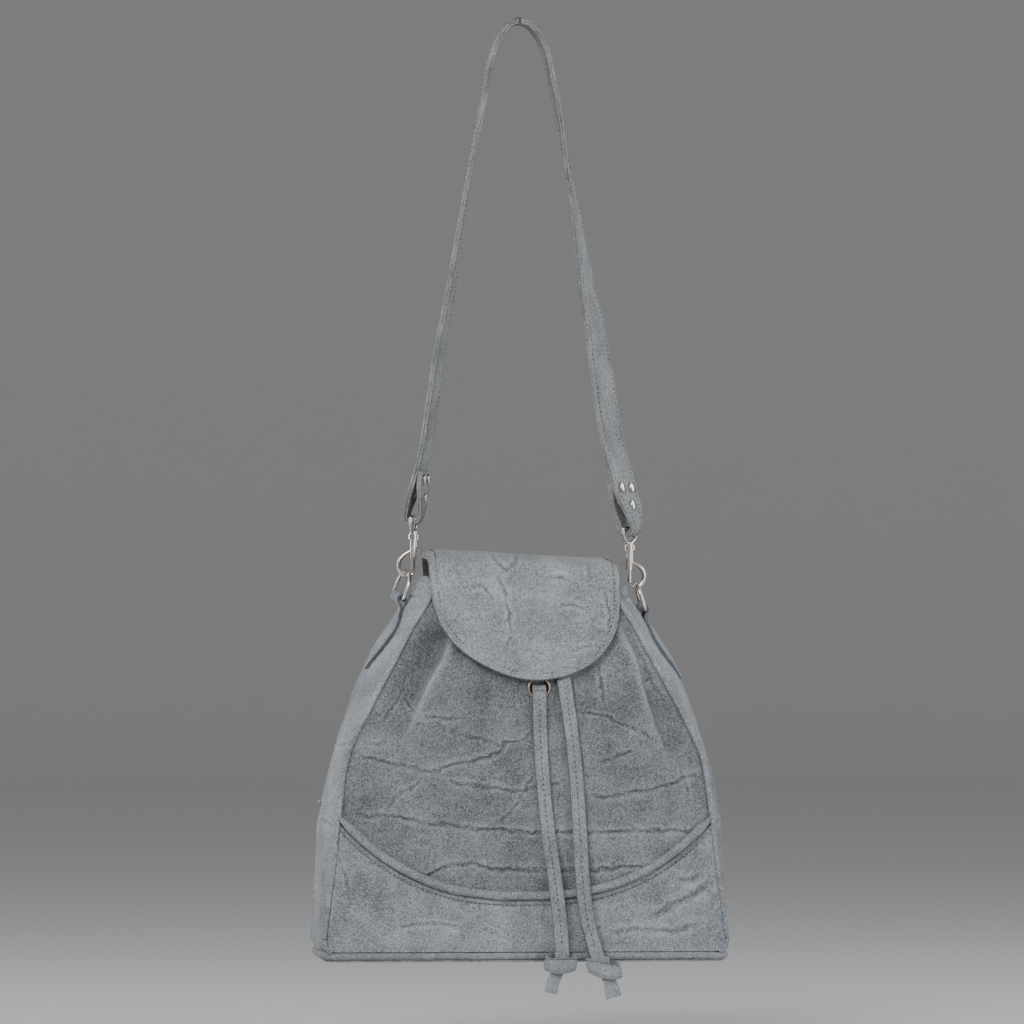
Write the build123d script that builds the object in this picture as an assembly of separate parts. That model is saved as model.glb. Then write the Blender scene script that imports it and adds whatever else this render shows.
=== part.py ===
"""Soft leather drawstring bucket bag, hanging from its shoulder strap.

Millimetres, +Z up, front towards -Y. Shapes are built with heights measured from the bag's
base, and publish() lowers them so that the origin is the underside of the strap's top.
"""

import os
from math import atan, cos, degrees, hypot, pi, radians, sin, tan

from build123d import *

os.makedirs("parts", exist_ok=True)

# ---- overall size
HANG_HEIGHT = 638.0  # base to the underside of the strap's top
BASE_HALF_DEPTH = 55.0
MOUTH_HEIGHT = 262.0
DEPTH_LOSS = 22.0  # how much the half depth shrinks from base to mouth

# ---- leather and fabric
SKIN = 1.8
LINING = 0.8
LINING_NEAR = SKIN + 0.8  # the lining hangs this far inside the outer face
LINING_FAR = LINING_NEAR + LINING
GAP = 0.3  # free space between neighbouring soft pieces

# ---- bag outline: height, half width at the front seam, half width at the gusset's middle
STATIONS = (
    (8.0, 137.5, 142.0),
    (40.0, 133.5, 141.0),
    (74.0, 129.0, 139.0),
    (110.0, 125.5, 134.5),
    (140.0, 120.5, 127.5),
    (173.0, 105.0, 117.0),
    (203.0, 89.0, 104.0),
    (233.0, 72.5, 84.5),
    (246.0, 64.0, 76.5),
    (262.0, 57.0, 70.0),
)
WALL_BOTTOM = STATIONS[0][0]
HOLE_PLAY = 0.15
SEAM_TOP = 246.0
EAR = ((253.0, 63.0, 74.0, 9.0), (258.0, 65.5, 71.5, 17.0))  # height, inner, outer, drawn in
SEAM_INSET = 2.0  # panel edges stop this far from the seam line
GUSSET_INSET = 2.5
PIPING_R = 1.5

# ---- base
BASE_HALF = (136.0, 54.0)
BASE_CORNER = 9.0
BASE_THICK = 3.2
BASE_ROLL_R = 2.1
BOARD_THICK = 2.6

# ---- lower front band
BAND_THICK = 1.6
BAND_LOW = 42.0
BAND_RISE = 55.0
BAND_REACH = 130.0
BAND_POWER = 2.6
BAND_ROLL_R = 3.0

# ---- back pocket
POCKET_TOP = 103.0
POCKET_GAPE = 6.5
HEM_R = 3.0
HEM_HALF = 134.0

# ---- eyelets and drawstring
FRONT_EYELETS = ((-51, 233), (-30, 216), (-9, 204), (10, 186), (28, 206), (52, 230))
BACK_EYELETS = ((-48, 233), (-16, 226), (16, 226), (48, 233))
EYELET_R = 8.3
EYELET_BARREL_R = 6.6
EYELET_HOLE_R = 5.9
EYELET_RIM = 1.0
WASHER_THICK = 0.8
STRING_WIDTH = 10.0
STRING_THICK = 2.6
RUN_THICK = 1.8
RUN_INSET = LINING_FAR + 1.6
SIDE_RUN_X = 58.0
SIDE_RUN_HEIGHT = 235.0
TAIL_LENGTH = 13.2  # the right string's stretch hidden under the flap

# ---- flap
FLAP_STANDOFF = 5.0
FLAP_LEFT = -64.0
FLAP_RIGHT = 65.0
FLAP_TIP = (9.0, 190.5)
FLAP_LAYER = 1.5
FLAP_ROOT_WIDTH = 122.0
SNAP_AT = (8.0, 224.0)
SNAP_R = 9.0

# ---- strap
STRAP_WIDTH = 30.0
STRAP_LAYER = 1.5
STRAP_SPLIT = 0.1
STRAP_LOOP_R = 4.6
STRAP_LEAN = 12.0
RIVET_CAP_R = 3.6
RIVET_SHANK_R = 1.5

# ---- each side: mirrored x of the hook's hanging point, its height, strap twist, ring yaw
SIDES = {
    "left": {"reach": 77.5, "height": 261.5, "twist": 16.0, "yaw": 18.0},
    "right": {"reach": 80.8, "height": 254.0, "twist": -33.0, "yaw": 0.0},
}
HOOK_OFFSET = 5.0  # hanging point to the hook's barrel axis
EYE_ABOVE = 40.5
WIRE_R = 1.4
RING_WIRE_R = 1.25
RING_HALF = 11.0
RING_HEIGHT = 18.5
RING_LIFT = 3.3  # hook wire's centre to ring wire's centre
RING_LEAN = 17.0
RING_ROLL = 10.0


def publish(name, *shapes):
    """Write one node's solids, lowered to the hanging frame."""
    solids = []
    for shape in shapes:
        moved = Pos(0, 0, -HANG_HEIGHT) * shape
        solids += moved.solids()
    for solid in solids:
        solid.label = name
    export_step(solids[0] if len(solids) == 1 else Compound(children=solids), f"parts/{name}.step")


def half_depth(height):
    return BASE_HALF_DEPTH - DEPTH_LOSS * (max(height, 0.0) / MOUTH_HEIGHT) ** 1.5


def outline(height):
    """Seam half width, gusset half width and half depth, straight between stations."""
    for low, high in zip(STATIONS, STATIONS[1:]):
        if height <= high[0]:
            break
    share = (height - low[0]) / (high[0] - low[0])
    seam = low[1] + share * (high[1] - low[1])
    gusset = low[2] + share * (high[2] - low[2])
    depth = half_depth(low[0]) + share * (half_depth(high[0]) - half_depth(low[0]))
    return seam, gusset, depth


def levels(bottom, top):
    inner = [row[0] for row in STATIONS if bottom < row[0] < top]
    return [bottom, *inner, top]


def wall(bottom, top, edge_inset, near, far, side=-1):
    """A panel that follows the front (side -1) or back (side 1), between two distances
    outside the bag's face."""
    sections = []
    for height in levels(bottom, top):
        seam, _, depth = outline(height)
        middle = side * (depth + (near + far) / 2)
        sections.append(Pos(0, middle, height) * Rectangle(2 * (seam - edge_inset), far - near))
    return loft(sections, ruled=True)


def face_place(x, height, side=-1):
    """On the front or back face, local Z out of the leather and local Y along it."""
    slope = (half_depth(height - 5) - half_depth(height + 5)) / 10
    tilt = 90 - degrees(atan(slope))
    depth = outline(height)[2]
    return Location((x, side * depth, height), (tilt if side < 0 else -tilt, 0, 0))


def bar(place, radius, near, far):
    """A round bar along a place's local Z, between two distances."""
    return place * Pos(0, 0, (near + far) / 2) * Cylinder(radius, far - near)


def tube(points, radius):
    """A round tube as rings set square to a run of points."""
    rings = []
    for i, point in enumerate(points):
        before = Vector(*points[max(i - 1, 0)])
        after = Vector(*points[min(i + 1, len(points) - 1)])
        rings.append(Plane(origin=point, z_dir=after - before) * Circle(radius))
    return loft(rings, ruled=True)


def smooth_path(points, share=0.45):
    """Straight runs joined by tangent arcs, each as large as its two runs allow."""
    spots = [Vector(*p) for p in points]
    radii = []
    for before, here, after in zip(spots, spots[1:], spots[2:]):
        turn = (here - before).get_angle(after - here)
        shorter = min((here - before).length, (after - here).length)
        radii.append(share * shorter / tan(radians(turn / 2)))
    return FilletPolyline(*points, radius=radii), radii


# ---------------------------------------------------------------- bag walls
def eyelet_holes(spots, side):
    """Bars that cut the eyelets' holes through the leather and the lining."""
    return [bar(face_place(x, z, side), EYELET_BARREL_R + HOLE_PLAY, -5, 2) for x, z in spots]


def front_panel():
    panel = wall(WALL_BOTTOM, MOUTH_HEIGHT, SEAM_INSET, -SKIN, 0)
    for hole in eyelet_holes(FRONT_EYELETS, -1):
        panel -= hole
    return panel


def back_panel():
    panel = wall(WALL_BOTTOM, MOUTH_HEIGHT, SEAM_INSET, -SKIN, 0, side=1)
    for hole in eyelet_holes(BACK_EYELETS, 1):
        panel -= hole
    return panel


def gusset_section(inner, outer, reach, height):
    rim = ThreePointArc((inner, -reach), (outer, 0), (inner, reach))
    inside = ThreePointArc((inner - SKIN, reach), (outer - SKIN, 0), (inner - SKIN, -reach))
    ends = Line((inner, reach), (inner - SKIN, reach)) + Line(
        (inner - SKIN, -reach), (inner, -reach)
    )
    return Pos(0, 0, height) * make_face(Wire([*rim.edges(), *inside.edges(), *ends.edges()]))


def gusset():
    sections = []
    for height in levels(WALL_BOTTOM, SEAM_TOP):
        seam, outer, depth = outline(height)
        sections.append(gusset_section(seam, outer, depth - GUSSET_INSET, height))
    for height, inner, outer, drawn_in in EAR:
        reach = outline(height)[2] - drawn_in
        sections.append(gusset_section(inner, outer, reach, height))
    return loft(sections, ruled=True)


def pouch_section(height, inset):
    """The closed outline of the inside of the walls, drawn in by an inset."""
    seam, outer, depth = outline(height)
    x = seam - inset
    y = depth - inset
    edges = [
        Line((-x, -y), (x, -y)),
        ThreePointArc((x, -y), (outer - inset, 0), (x, y)),
        Line((x, y), (-x, y)),
        ThreePointArc((-x, y), (inset - outer, 0), (-x, -y)),
    ]
    return Pos(0, 0, height) * make_face(Wire([e for curve in edges for e in curve.edges()]))


def lining():
    shell = loft([pouch_section(z, LINING_NEAR) for z in levels(WALL_BOTTOM, SEAM_TOP)], ruled=True)
    floor = WALL_BOTTOM + LINING
    hollow = loft(
        [pouch_section(z, LINING_FAR) for z in levels(floor, SEAM_TOP + 1)],
        ruled=True,
    )
    shell -= hollow
    for hole in eyelet_holes(FRONT_EYELETS, -1):
        shell -= hole
    for hole in eyelet_holes(BACK_EYELETS, 1):
        shell -= hole
    return shell


def side_piping(sign, side):
    rings = []
    for height in levels(WALL_BOTTOM, SEAM_TOP):
        seam, _, depth = outline(height)
        rings.append(Pos(sign * seam, side * (depth - 0.6), height) * Circle(PIPING_R))
    return loft(rings, ruled=True)


# ---------------------------------------------------------------- base, band and pocket
def band_edge(x):
    """Height of the band's smile-shaped top edge."""
    return BAND_LOW + BAND_RISE * (abs(x) / BAND_REACH) ** BAND_POWER


def front_band():
    slab = wall(WALL_BOTTOM, 100, SEAM_INSET + 0.2, 0.15, 0.15 + BAND_THICK)
    steps = [BAND_REACH * i / 6 for i in range(-6, 7)]
    curve = [(x, band_edge(x)) for x in steps]
    corners = [(BAND_REACH + 12, band_edge(BAND_REACH) + 4), (BAND_REACH + 12, 0)]
    mirrored = [(-x, z) for x, z in reversed(corners)]
    shape = make_face(Polyline(*curve, *corners, *mirrored, close=True))
    prism = extrude(Plane.XZ * shape, 40, both=True)
    return slab & (Pos(0, -BASE_HALF_DEPTH, 0) * prism)


def band_piping():
    reach = BAND_REACH - 8
    points = []
    for i in range(-8, 9):
        x = reach * i / 8
        slope = band_edge(abs(x) + 0.5) - band_edge(abs(x) - 0.5) if x else 0
        z = band_edge(x) + (BAND_ROLL_R + 0.6) * hypot(1, slope)
        points.append((x, -outline(z)[2] - BAND_ROLL_R - 0.3, z))
    return tube(points, BAND_ROLL_R)


def base_panel():
    slab = extrude(RectangleRounded(2 * BASE_HALF[0], 2 * BASE_HALF[1], BASE_CORNER), BASE_THICK)
    return fillet(slab.faces().sort_by(Axis.Z)[0].edges(), 1.4)


def base_piping():
    height = BASE_THICK + BASE_ROLL_R + 0.1
    border = RectangleRounded(2 * BASE_HALF[0], 2 * BASE_HALF[1], BASE_CORNER)
    path = (Pos(0, 0, height) * border).wire()
    return sweep(Plane(origin=path @ 0, z_dir=path % 0) * Circle(BASE_ROLL_R), path=path)


def base_board():
    inset = BASE_ROLL_R + 3
    slab = RectangleRounded(2 * (BASE_HALF[0] - inset), 2 * (BASE_HALF[1] - inset), BASE_CORNER - 2)
    return Pos(0, 0, BASE_THICK + GAP) * extrude(slab, BOARD_THICK)


def back_pocket():
    """A slip pocket that stands off the back panel towards its mouth."""
    sections = []
    for height in levels(WALL_BOTTOM, POCKET_TOP):
        seam, _, depth = outline(height)
        gape = GAP + POCKET_GAPE * (height - WALL_BOTTOM) / (POCKET_TOP - WALL_BOTTOM)
        middle = depth + gape + BAND_THICK / 2
        sections.append(Pos(0, middle, height) * Rectangle(2 * (seam - SEAM_INSET), BAND_THICK))
    return loft(sections, ruled=True)


def pocket_hem():
    y = outline(POCKET_TOP)[2] + GAP + POCKET_GAPE + HEM_R - 0.7
    place = Location((0, y, POCKET_TOP + HEM_R + 0.1), (0, 90, 0))
    return bar(place, HEM_R, -HEM_HALF, HEM_HALF)


# ---------------------------------------------------------------- eyelets and drawstring
def eyelet(x, height, side):
    place = face_place(x, height, side)
    rim = bar(place, EYELET_R, 0.1, 0.1 + EYELET_RIM)
    barrel = bar(place, EYELET_BARREL_R, -LINING_FAR - 0.8, 0.1 + EYELET_RIM)
    return rim + barrel - bar(place, EYELET_HOLE_R, -9, 9)


def washer(x, height, side):
    place = face_place(x, height, side)
    near = -LINING_FAR - 0.1
    ring = bar(place, EYELET_R - 0.6, near - WASHER_THICK, near)
    return ring - bar(place, EYELET_BARREL_R + 0.1, -9, 9)


def run_along(spots, side):
    """The drawstring's stretch inside one wall, from eyelet to eyelet."""
    sections = []
    for x, height in spots:
        y = side * (outline(height)[2] - RUN_INSET - RUN_THICK / 2)
        sections.append(Plane(origin=(x, y, height), z_dir=(1, 0, 0), x_dir=(0, 1, 0))
                        * Rectangle(RUN_THICK, STRING_WIDTH))
    return loft(sections, ruled=True)


def drawstring_run():
    """The hidden part of the drawstring: once round the mouth, and out through two eyelets."""
    ends = ((-SIDE_RUN_X, SIDE_RUN_HEIGHT + 1), (SIDE_RUN_X, SIDE_RUN_HEIGHT - 1))
    run = run_along((ends[0], *FRONT_EYELETS, ends[1]), -1)
    run += run_along((ends[0], *BACK_EYELETS, ends[1]), 1)
    reach = outline(SIDE_RUN_HEIGHT)[2] - RUN_INSET
    for sign in (-1, 1):
        side_run = Box(RUN_THICK, 2 * reach, STRING_WIDTH)
        run += Pos(sign * SIDE_RUN_X, 0, SIDE_RUN_HEIGHT) * side_run
    stub = Box(STRING_WIDTH - 1, RUN_THICK, 8.4)
    for x, height in (FRONT_EYELETS[3], FRONT_EYELETS[4]):
        run += face_place(x, height) * Pos(0, 0, -2.0) * stub
    tail = Box(STRING_WIDTH, TAIL_LENGTH, RUN_THICK)
    run += face_place(*FRONT_EYELETS[4]) * Pos(-0.8, -6.2, 2.4) * tail
    return run


STRING_ROUTES = {
    "left": (
        (10.0, -44.8, 183.5), (9.8, -47.4, 160), (11.5, -50.6, 125), (14.5, -55.2, 90),
        (19.5, -64.0, 52), (22.5, -64.9, 26), (24.0, -64.6, 3),
    ),
    "right": (
        (26.6, -44.2, 191.5), (30.5, -47.0, 165), (34.3, -50.6, 130), (36.3, -55.4, 92),
        (37.6, -64.2, 54), (40.0, -65.2, 28), (48.5, -65.4, 1),
    ),
}
KNOTS = {
    "left": {"at": (22.5, -65.0, -0.5), "size": (21, 11, 12.5), "turn": 4, "tail": (-4.5, -12, 24)},
    "right": {"at": (52.0, -65.4, -3.5), "size": (23, 11, 13), "turn": 12, "tail": (4.5, -12, -22)},
}


def drawstring(side):
    """The string's free end, a flat double strip that leaves its eyelet and hangs."""
    path, radii = smooth_path(STRING_ROUTES[side])
    start = Vector(*STRING_ROUTES[side][0])
    along = Vector(*STRING_ROUTES[side][1]) - start
    section = Plane(origin=start, z_dir=along, x_dir=(1, 0, 0)) * Rectangle(
        STRING_WIDTH, STRING_THICK
    )
    strip = sweep(section, path=path)
    share = strip.volume / (STRING_WIDTH * STRING_THICK * path.length)
    print(f"drawstring_{side}: length {path.length:.1f}, radii",
          [round(r) for r in radii], f"volume share {share:.3f}")
    return strip


def knot(side):
    facts = KNOTS[side]
    block = fillet(Box(*facts["size"]).edges(), 4.5)
    dx, dz, lean = facts["tail"]
    tail = Pos(dx, 0, dz) * Rot(0, lean, 0) * Box(STRING_WIDTH - 1, STRING_THICK, 14)
    return Pos(*facts["at"]) * (Rot(0, facts["turn"], 0) * block + tail)


# ---------------------------------------------------------------- flap
FLAP_UNDERSIDE = (
    (33.3, 264.5), (31.6, 268.6), (26.0, 271.2), (0.0, 272.6), (-24.0, 271.2), (-33.0, 267.6),
)


def flap_profile():
    """Side view of the flap's underside, as y and height, from hinge to tip."""
    front = [(-outline(z)[2] - FLAP_STANDOFF, z) for z in (259, 246, 222, 204, 184)]
    return [*FLAP_UNDERSIDE, *front]


def ribbon(points, near, far):
    """The face between two curves that run alongside a line of points."""
    sides = []
    for offset in (near, far):
        moved = []
        for i, (y, z) in enumerate(points):
            y0, z0 = points[max(i - 1, 0)]
            y1, z1 = points[min(i + 1, len(points) - 1)]
            size = hypot(y1 - y0, z1 - z0)
            moved.append((y - offset * (z0 - z1) / size, z + offset * (y0 - y1) / size))
        sides.append(moved)
    inner, outer = sides
    edges = [
        *Spline(*inner).edges(),
        *Line(inner[-1], outer[-1]).edges(),
        *Spline(*reversed(outer)).edges(),
        *Line(outer[0], inner[0]).edges(),
    ]
    return make_face(Wire(edges))


def flap_layer(near, far, inset):
    face = Plane.YZ * ribbon(flap_profile(), near, far)
    sheet = extrude(face, 90, both=True)
    left = FLAP_LEFT + inset
    right = FLAP_RIGHT - inset
    tip_x, tip_z = FLAP_TIP
    tip = (tip_x, tip_z + inset)
    lower = ThreePointArc((left + 2, 240), (-36 + inset, 206 + inset), tip)
    upper = ThreePointArc(tip, (46 - inset, 205 + inset), (right, 238))
    frame = Polyline((right, 238), (right, 300), (left, 300), (left + 2, 240))
    shape = make_face(Wire([*lower.edges(), *upper.edges(), *frame.edges()]))
    prism = extrude(Plane.XZ * shape, 100, both=True)
    return sheet & prism


def flap_root():
    """The flap leather's sewn end, flat on the back panel under the hinge line."""
    place = face_place(0, 253, 1) * Pos(0, 0, 1.2)
    return place * Box(FLAP_ROOT_WIDTH, 15.5, SKIN)


def snap_socket():
    return bar(face_place(*SNAP_AT), SNAP_R, 0.15, 2.4)


def snap_stud():
    return bar(face_place(*SNAP_AT), SNAP_R, 2.75, FLAP_STANDOFF - 0.25)


# ---------------------------------------------------------------- strap
def strap_limb(side):
    """Height and mirrored x of the limb's middle, from the top down to the riveted joint."""
    top = ((637.5, 6.5), (631.5, 12.0), (623.0, 16.8), (612.0, 20.0), (597.0, 23.0))
    flank = ((572.0, 27.5), (545.0, 32.5), (518.0, 37.5), (465.0, 45.5), (420.0, 53.5), (375.0, 60.0))
    end = {"left": (346.0, 64.6), "right": (342.0, 66.6)}[side]
    return [*top, *flank, end]


def joint_place(side):
    """The hook eye's bar: origin of the strap's loop, mirrored so that +X is outward."""
    facts = SIDES[side]
    reach = facts["reach"] - HOOK_OFFSET
    twist = Location((reach, 0, facts["height"] + EYE_ABOVE), (0, 0, facts["twist"]))
    return twist * Location((0, 0, 0), (0, -STRAP_LEAN, 0))


# height above the bar, distance off its line, width of the leather there
LOOP_RISE = ((30.0, 1.65, 30.0), (22.0, 2.4, 30.0), (14.0, 3.7, 26.0), (6.0, 4.5, 18.0))
LOOP_END = 32.0
LOOP_WIDTH = 13.0


def strap_frames(side):
    """Section planes and widths down one limb and round its loop: local X is the stacking."""
    frames = []
    facts = SIDES[side]
    rows = [(HANG_HEIGHT + 1.6, 0.0), *strap_limb(side)]
    joint = joint_place(side)
    last = (joint * Pos(LOOP_RISE[0][1], 0, LOOP_RISE[0][0])).position
    chain = [*rows, (last.Z, last.X)]
    for i in range(1, len(rows)):
        z0, x0 = chain[i - 1]
        z1, x1 = chain[i + 1]
        height, x = chain[i]
        twist = facts["twist"] * min(max((575 - height) / 170, 0), 1)
        slope = degrees(atan((x1 - x0) / (z0 - z1)))
        place = Location((x, 0, height), (0, 0, twist)) * Location((0, 0, 0), (0, -slope, 0))
        frames.append((Plane(place), STRAP_WIDTH))
    turns = [
        (-STRAP_LOOP_R * sin(pi * k / 6), STRAP_LOOP_R * cos(pi * k / 6), LOOP_WIDTH)
        for k in range(7)
    ]
    back = [(v, -u, width) for v, u, width in reversed(LOOP_RISE)]
    end = (LOOP_END, -LOOP_RISE[0][1], STRAP_WIDTH)
    spots = [*LOOP_RISE, *turns, *back, end]
    for i, (v, u, width) in enumerate(spots):
        v0, u0, _ = spots[max(i - 1, 0)]
        v1, u1, _ = spots[min(i + 1, len(spots) - 1)]
        size = hypot(v0 - v1, u0 - u1)
        normal = (joint * Pos((v0 - v1) / size, 0, (u1 - u0) / size)).position - joint.position
        along = (joint * Pos((u0 - u1) / size, 0, (v0 - v1) / size)).position - joint.position
        origin = (joint * Pos(u, 0, v)).position
        frames.append((Plane(origin=origin, x_dir=normal, z_dir=along), width))
    return frames


def strap_layer(stack):
    """One layer of the strap, outer (1) or lining (-1): from one loop's end over the top to
    the other's."""
    offset = stack * (STRAP_LAYER + STRAP_SPLIT) / 2
    sections = {}
    for side in SIDES:
        rows = []
        for plane, width in strap_frames(side):
            rows.append(plane * Pos(offset, 0, 0) * Rectangle(STRAP_LAYER, width))
        sections[side] = [mirror(r, about=Plane.YZ) for r in rows] if side == "left" else rows
    crown = Plane(origin=(0, 0, HANG_HEIGHT + 1.6), x_dir=(0, 0, 1), z_dir=(-1, 0, 0))
    top = crown * Pos(offset, 0, 0) * Rectangle(STRAP_LAYER, STRAP_WIDTH)
    layer = loft([*reversed(sections["left"]), top, *sections["right"]], ruled=True)
    for hole in rivet_holes():
        layer -= hole
    return layer


RIVET_SPOTS = ((27.0, -7.0, 4.05), (27.0, 7.0, 4.05), (14.5, 0.0, 5.9))  # up, across, half grip


def rivet(side, spot):
    up, across, grip = spot
    place = joint_place(side) * Location((0, across, up), (0, 90, 0))
    shank = bar(place, RIVET_SHANK_R, -grip - 0.6, grip + 0.6)
    cap = bar(place, RIVET_CAP_R, grip, grip + 1.3)
    tail = bar(place, RIVET_CAP_R, -grip - 1.3, -grip)
    soft = fillet(cap.faces().sort_by(Axis(place.position, (Plane(place).z_dir)))[-1].edges(), 1.1)
    low = fillet(tail.faces().sort_by(Axis(place.position, (Plane(place).z_dir)))[0].edges(), 1.1)
    return shank + soft + low


def rivet_holes():
    holes = []
    for side in SIDES:
        for up, across, _ in RIVET_SPOTS:
            place = joint_place(side) * Location((0, across, up), (0, 90, 0))
            hole = bar(place, RIVET_SHANK_R + 0.1, -9, 9)
            holes.append(mirror(hole, about=Plane.YZ) if side == "left" else hole)
    return holes


# ---------------------------------------------------------------- snap hooks
def hook_place(side):
    """The hook's barrel axis at the height of its hanging point, mirrored side."""
    facts = SIDES[side]
    return Pos(facts["reach"] - HOOK_OFFSET, 0, facts["height"])


UPRIGHT = Location((0, 0, 0))


def hook_eye(side):
    """Wire eye in the strap's loop, with its swivel post."""
    turn = Rot(0, 0, SIDES[side]["twist"])
    leg = ((1.3, 29.4), (7.2, 32.2), (9.5, 36.5), (9.4, 39.4), (8.2, 40.5))
    corners = [(0, y, z) for y, z in leg] + [(0, -y, z) for y, z in reversed(leg)]
    path = FilletPolyline(*corners, radius=0.6)
    along = Vector(*corners[1]) - Vector(*corners[0])
    loop = sweep(Plane(origin=corners[0], z_dir=along) * Circle(1.15), path=path)
    hub = bar(UPRIGHT, 2.6, 28.2, 30.4)
    collar = bar(UPRIGHT, 3.8, 26.9, 28.3)
    post = bar(UPRIGHT, 1.15, 22.8, 27)
    head = bar(UPRIGHT, 1.5, 21.9, 23.0)
    return hook_place(side) * (turn * loop + hub + collar + post + head)


def hook_body(side):
    """Barrel with its bent hook, bored for the latch pin and the swivel post."""
    points = ((1.2, 17.2), (6.2, 14.6), (9.9, 10.2), (9.9, 4.2), (7.2, 0.4), (3.6, -0.2), (0.2, 1.2))
    path, _ = smooth_path([(x, 0, z) for x, z in points])
    along = Vector(points[1][0] - points[0][0], 0, points[1][1] - points[0][1])
    wire = sweep(Plane(origin=(points[0][0], 0, points[0][1]), z_dir=along) * Circle(WIRE_R), path=path)
    barrel = bar(UPRIGHT, 2.45, 11.5, 25.2)
    collar = bar(UPRIGHT, 3.8, 25.0, 26.6)
    body = wire + barrel + collar
    body -= bar(UPRIGHT, 1.65, 4.0, 23.3)
    body -= bar(UPRIGHT, 1.3, 23.0, 29)
    body -= Pos(-2, 0, 18.0) * Box(4, 2.0, 7.4)
    return hook_place(side) * body


def trigger(side):
    """Latch pin with its thumb knob on the inner side."""
    pin = bar(UPRIGHT, 1.4, 2.9, 17.0)
    stem = Pos(-2.3, 0, 15.9) * Box(3.4, 1.5, 2.2)
    thumb = Pos(-4.6, 0, 15.9) * Box(3.4, 3.0, 3.0)
    stand = Pos(-5.6, 0, 17.9) * Box(2.0, 3.0, 3.4)
    return hook_place(side) * (pin + stem + thumb + stand)


def trigger_spring(side):
    coil = bar(UPRIGHT, 1.45, 17.05, 21.85) - bar(UPRIGHT, 0.95, 17, 24)
    return hook_place(side) * coil


# ---------------------------------------------------------------- rings and tabs
def ring_place(side):
    """The D-ring's frame at the hook wire it hangs on: local X is the ring's axis."""
    facts = SIDES[side]
    place = Location((facts["reach"], 0, facts["height"]), (0, 0, -facts["yaw"]))
    return place * Location((0, 0, 0), (0, -RING_LEAN, 0)) * Location((0, 0, 0), (RING_ROLL, 0, 0))


def d_ring(side):
    foot = RING_LIFT - RING_HEIGHT
    corners = (
        (0, -RING_HALF, foot), (0, RING_HALF, foot),
        (0, RING_HALF, RING_LIFT), (0, -RING_HALF, RING_LIFT),
    )
    path = FilletPolyline(*corners, radius=[2.5, 2.5, RING_HALF - 0.2, RING_HALF - 0.2], close=True)
    start = path.edges()[0]
    section = Plane(origin=start @ 0.5, z_dir=start % 0.5) * Circle(RING_WIRE_R)
    return ring_place(side) * sweep(section, path=path)


def tab(side):
    """Leather tab: an eye round the ring's bar, tapering down the gusset to a point."""
    place = ring_place(side) * Pos(0, 0, RING_LIFT - RING_HEIGHT)
    eye = bar(place * Rot(90, 0, 0), 2.8, -7.5, 7.5)
    top = place.position
    across = Plane(place).y_dir
    neck = Plane(
        origin=top + Vector(1.0, 0, -2.0),
        x_dir=(1, 0, -0.3),
        z_dir=Vector(1, 0, -0.3).cross(across),
    )
    sections = [neck * Rectangle(3.0, 15)]
    for height, forward, width in ((top.Z - 14, 4.0, 26.0), (213.0, 9.0, 18.0), (199.0, 12.0, 2.0)):
        x = outline(height)[1] + GAP + 1.9
        sections.append(Pos(x, -forward, height) * Rectangle(2.2, width))
    body = loft(sections, ruled=True) + eye
    return body - bar(place * Rot(90, 0, 0), RING_WIRE_R + 0.3, -12, 12)


# ---------------------------------------------------------------- write the nodes
def on_side(side, shape):
    return mirror(shape, about=Plane.YZ) if side == "left" else shape


def nodes():
    """Every node's name and the function that makes its solids."""
    table = {
        "front_panel": lambda: [front_panel()],
        "back_panel": lambda: [back_panel()],
        "lining": lambda: [lining()],
        "front_band": lambda: [front_band()],
        "band_piping": lambda: [band_piping()],
        "base_panel": lambda: [base_panel()],
        "base_board": lambda: [base_board()],
        "base_piping": lambda: [base_piping()],
        "back_pocket": lambda: [back_pocket()],
        "pocket_hem": lambda: [pocket_hem()],
        "eyelets_front": lambda: [eyelet(x, z, -1) for x, z in FRONT_EYELETS],
        "eyelets_back": lambda: [eyelet(x, z, 1) for x, z in BACK_EYELETS],
        "washers_front": lambda: [washer(x, z, -1) for x, z in FRONT_EYELETS],
        "washers_back": lambda: [washer(x, z, 1) for x, z in BACK_EYELETS],
        "drawstring_run": lambda: [drawstring_run()],
        "flap_lining": lambda: [flap_layer(0, FLAP_LAYER, 1.0)],
        "flap_outer": lambda: [flap_layer(FLAP_LAYER + 0.15, 2 * FLAP_LAYER + 0.15, 0)],
        "flap_root": lambda: [flap_root()],
        "snap_socket": lambda: [snap_socket()],
        "snap_stud": lambda: [snap_stud()],
        "piping_front_left": lambda: [side_piping(-1, -1)],
        "piping_front_right": lambda: [side_piping(1, -1)],
        "piping_back_left": lambda: [side_piping(-1, 1)],
        "piping_back_right": lambda: [side_piping(1, 1)],
        "strap_outer": lambda: [strap_layer(1)],
        "strap_lining": lambda: [strap_layer(-1)],
    }
    both_sides = {
        "gusset": lambda side: [gusset()],
        "hook_eye": lambda side: [hook_eye(side)],
        "hook_body": lambda side: [hook_body(side)],
        "trigger": lambda side: [trigger(side)],
        "trigger_spring": lambda side: [trigger_spring(side)],
        "d_ring": lambda side: [d_ring(side)],
        "tab": lambda side: [tab(side)],
        "rivets": lambda side: [rivet(side, spot) for spot in RIVET_SPOTS],
    }
    for side in SIDES:
        for name, make in both_sides.items():
            table[f"{name}_{side}"] = lambda make=make, side=side: [
                on_side(side, shape) for shape in make(side)
            ]
        table[f"drawstring_{side}"] = lambda side=side: [drawstring(side)]
        table[f"knot_{side}"] = lambda side=side: [knot(side)]
    return table


for node, make in nodes().items():
    publish(node, *make())
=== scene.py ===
"""Looks of a soft leather bucket bag that hangs by its strap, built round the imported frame.

Shapes are worked out in millimetres, with heights measured from the bag's base, and metres()
turns them into the frame's own places. The front faces -Y.
"""

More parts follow.
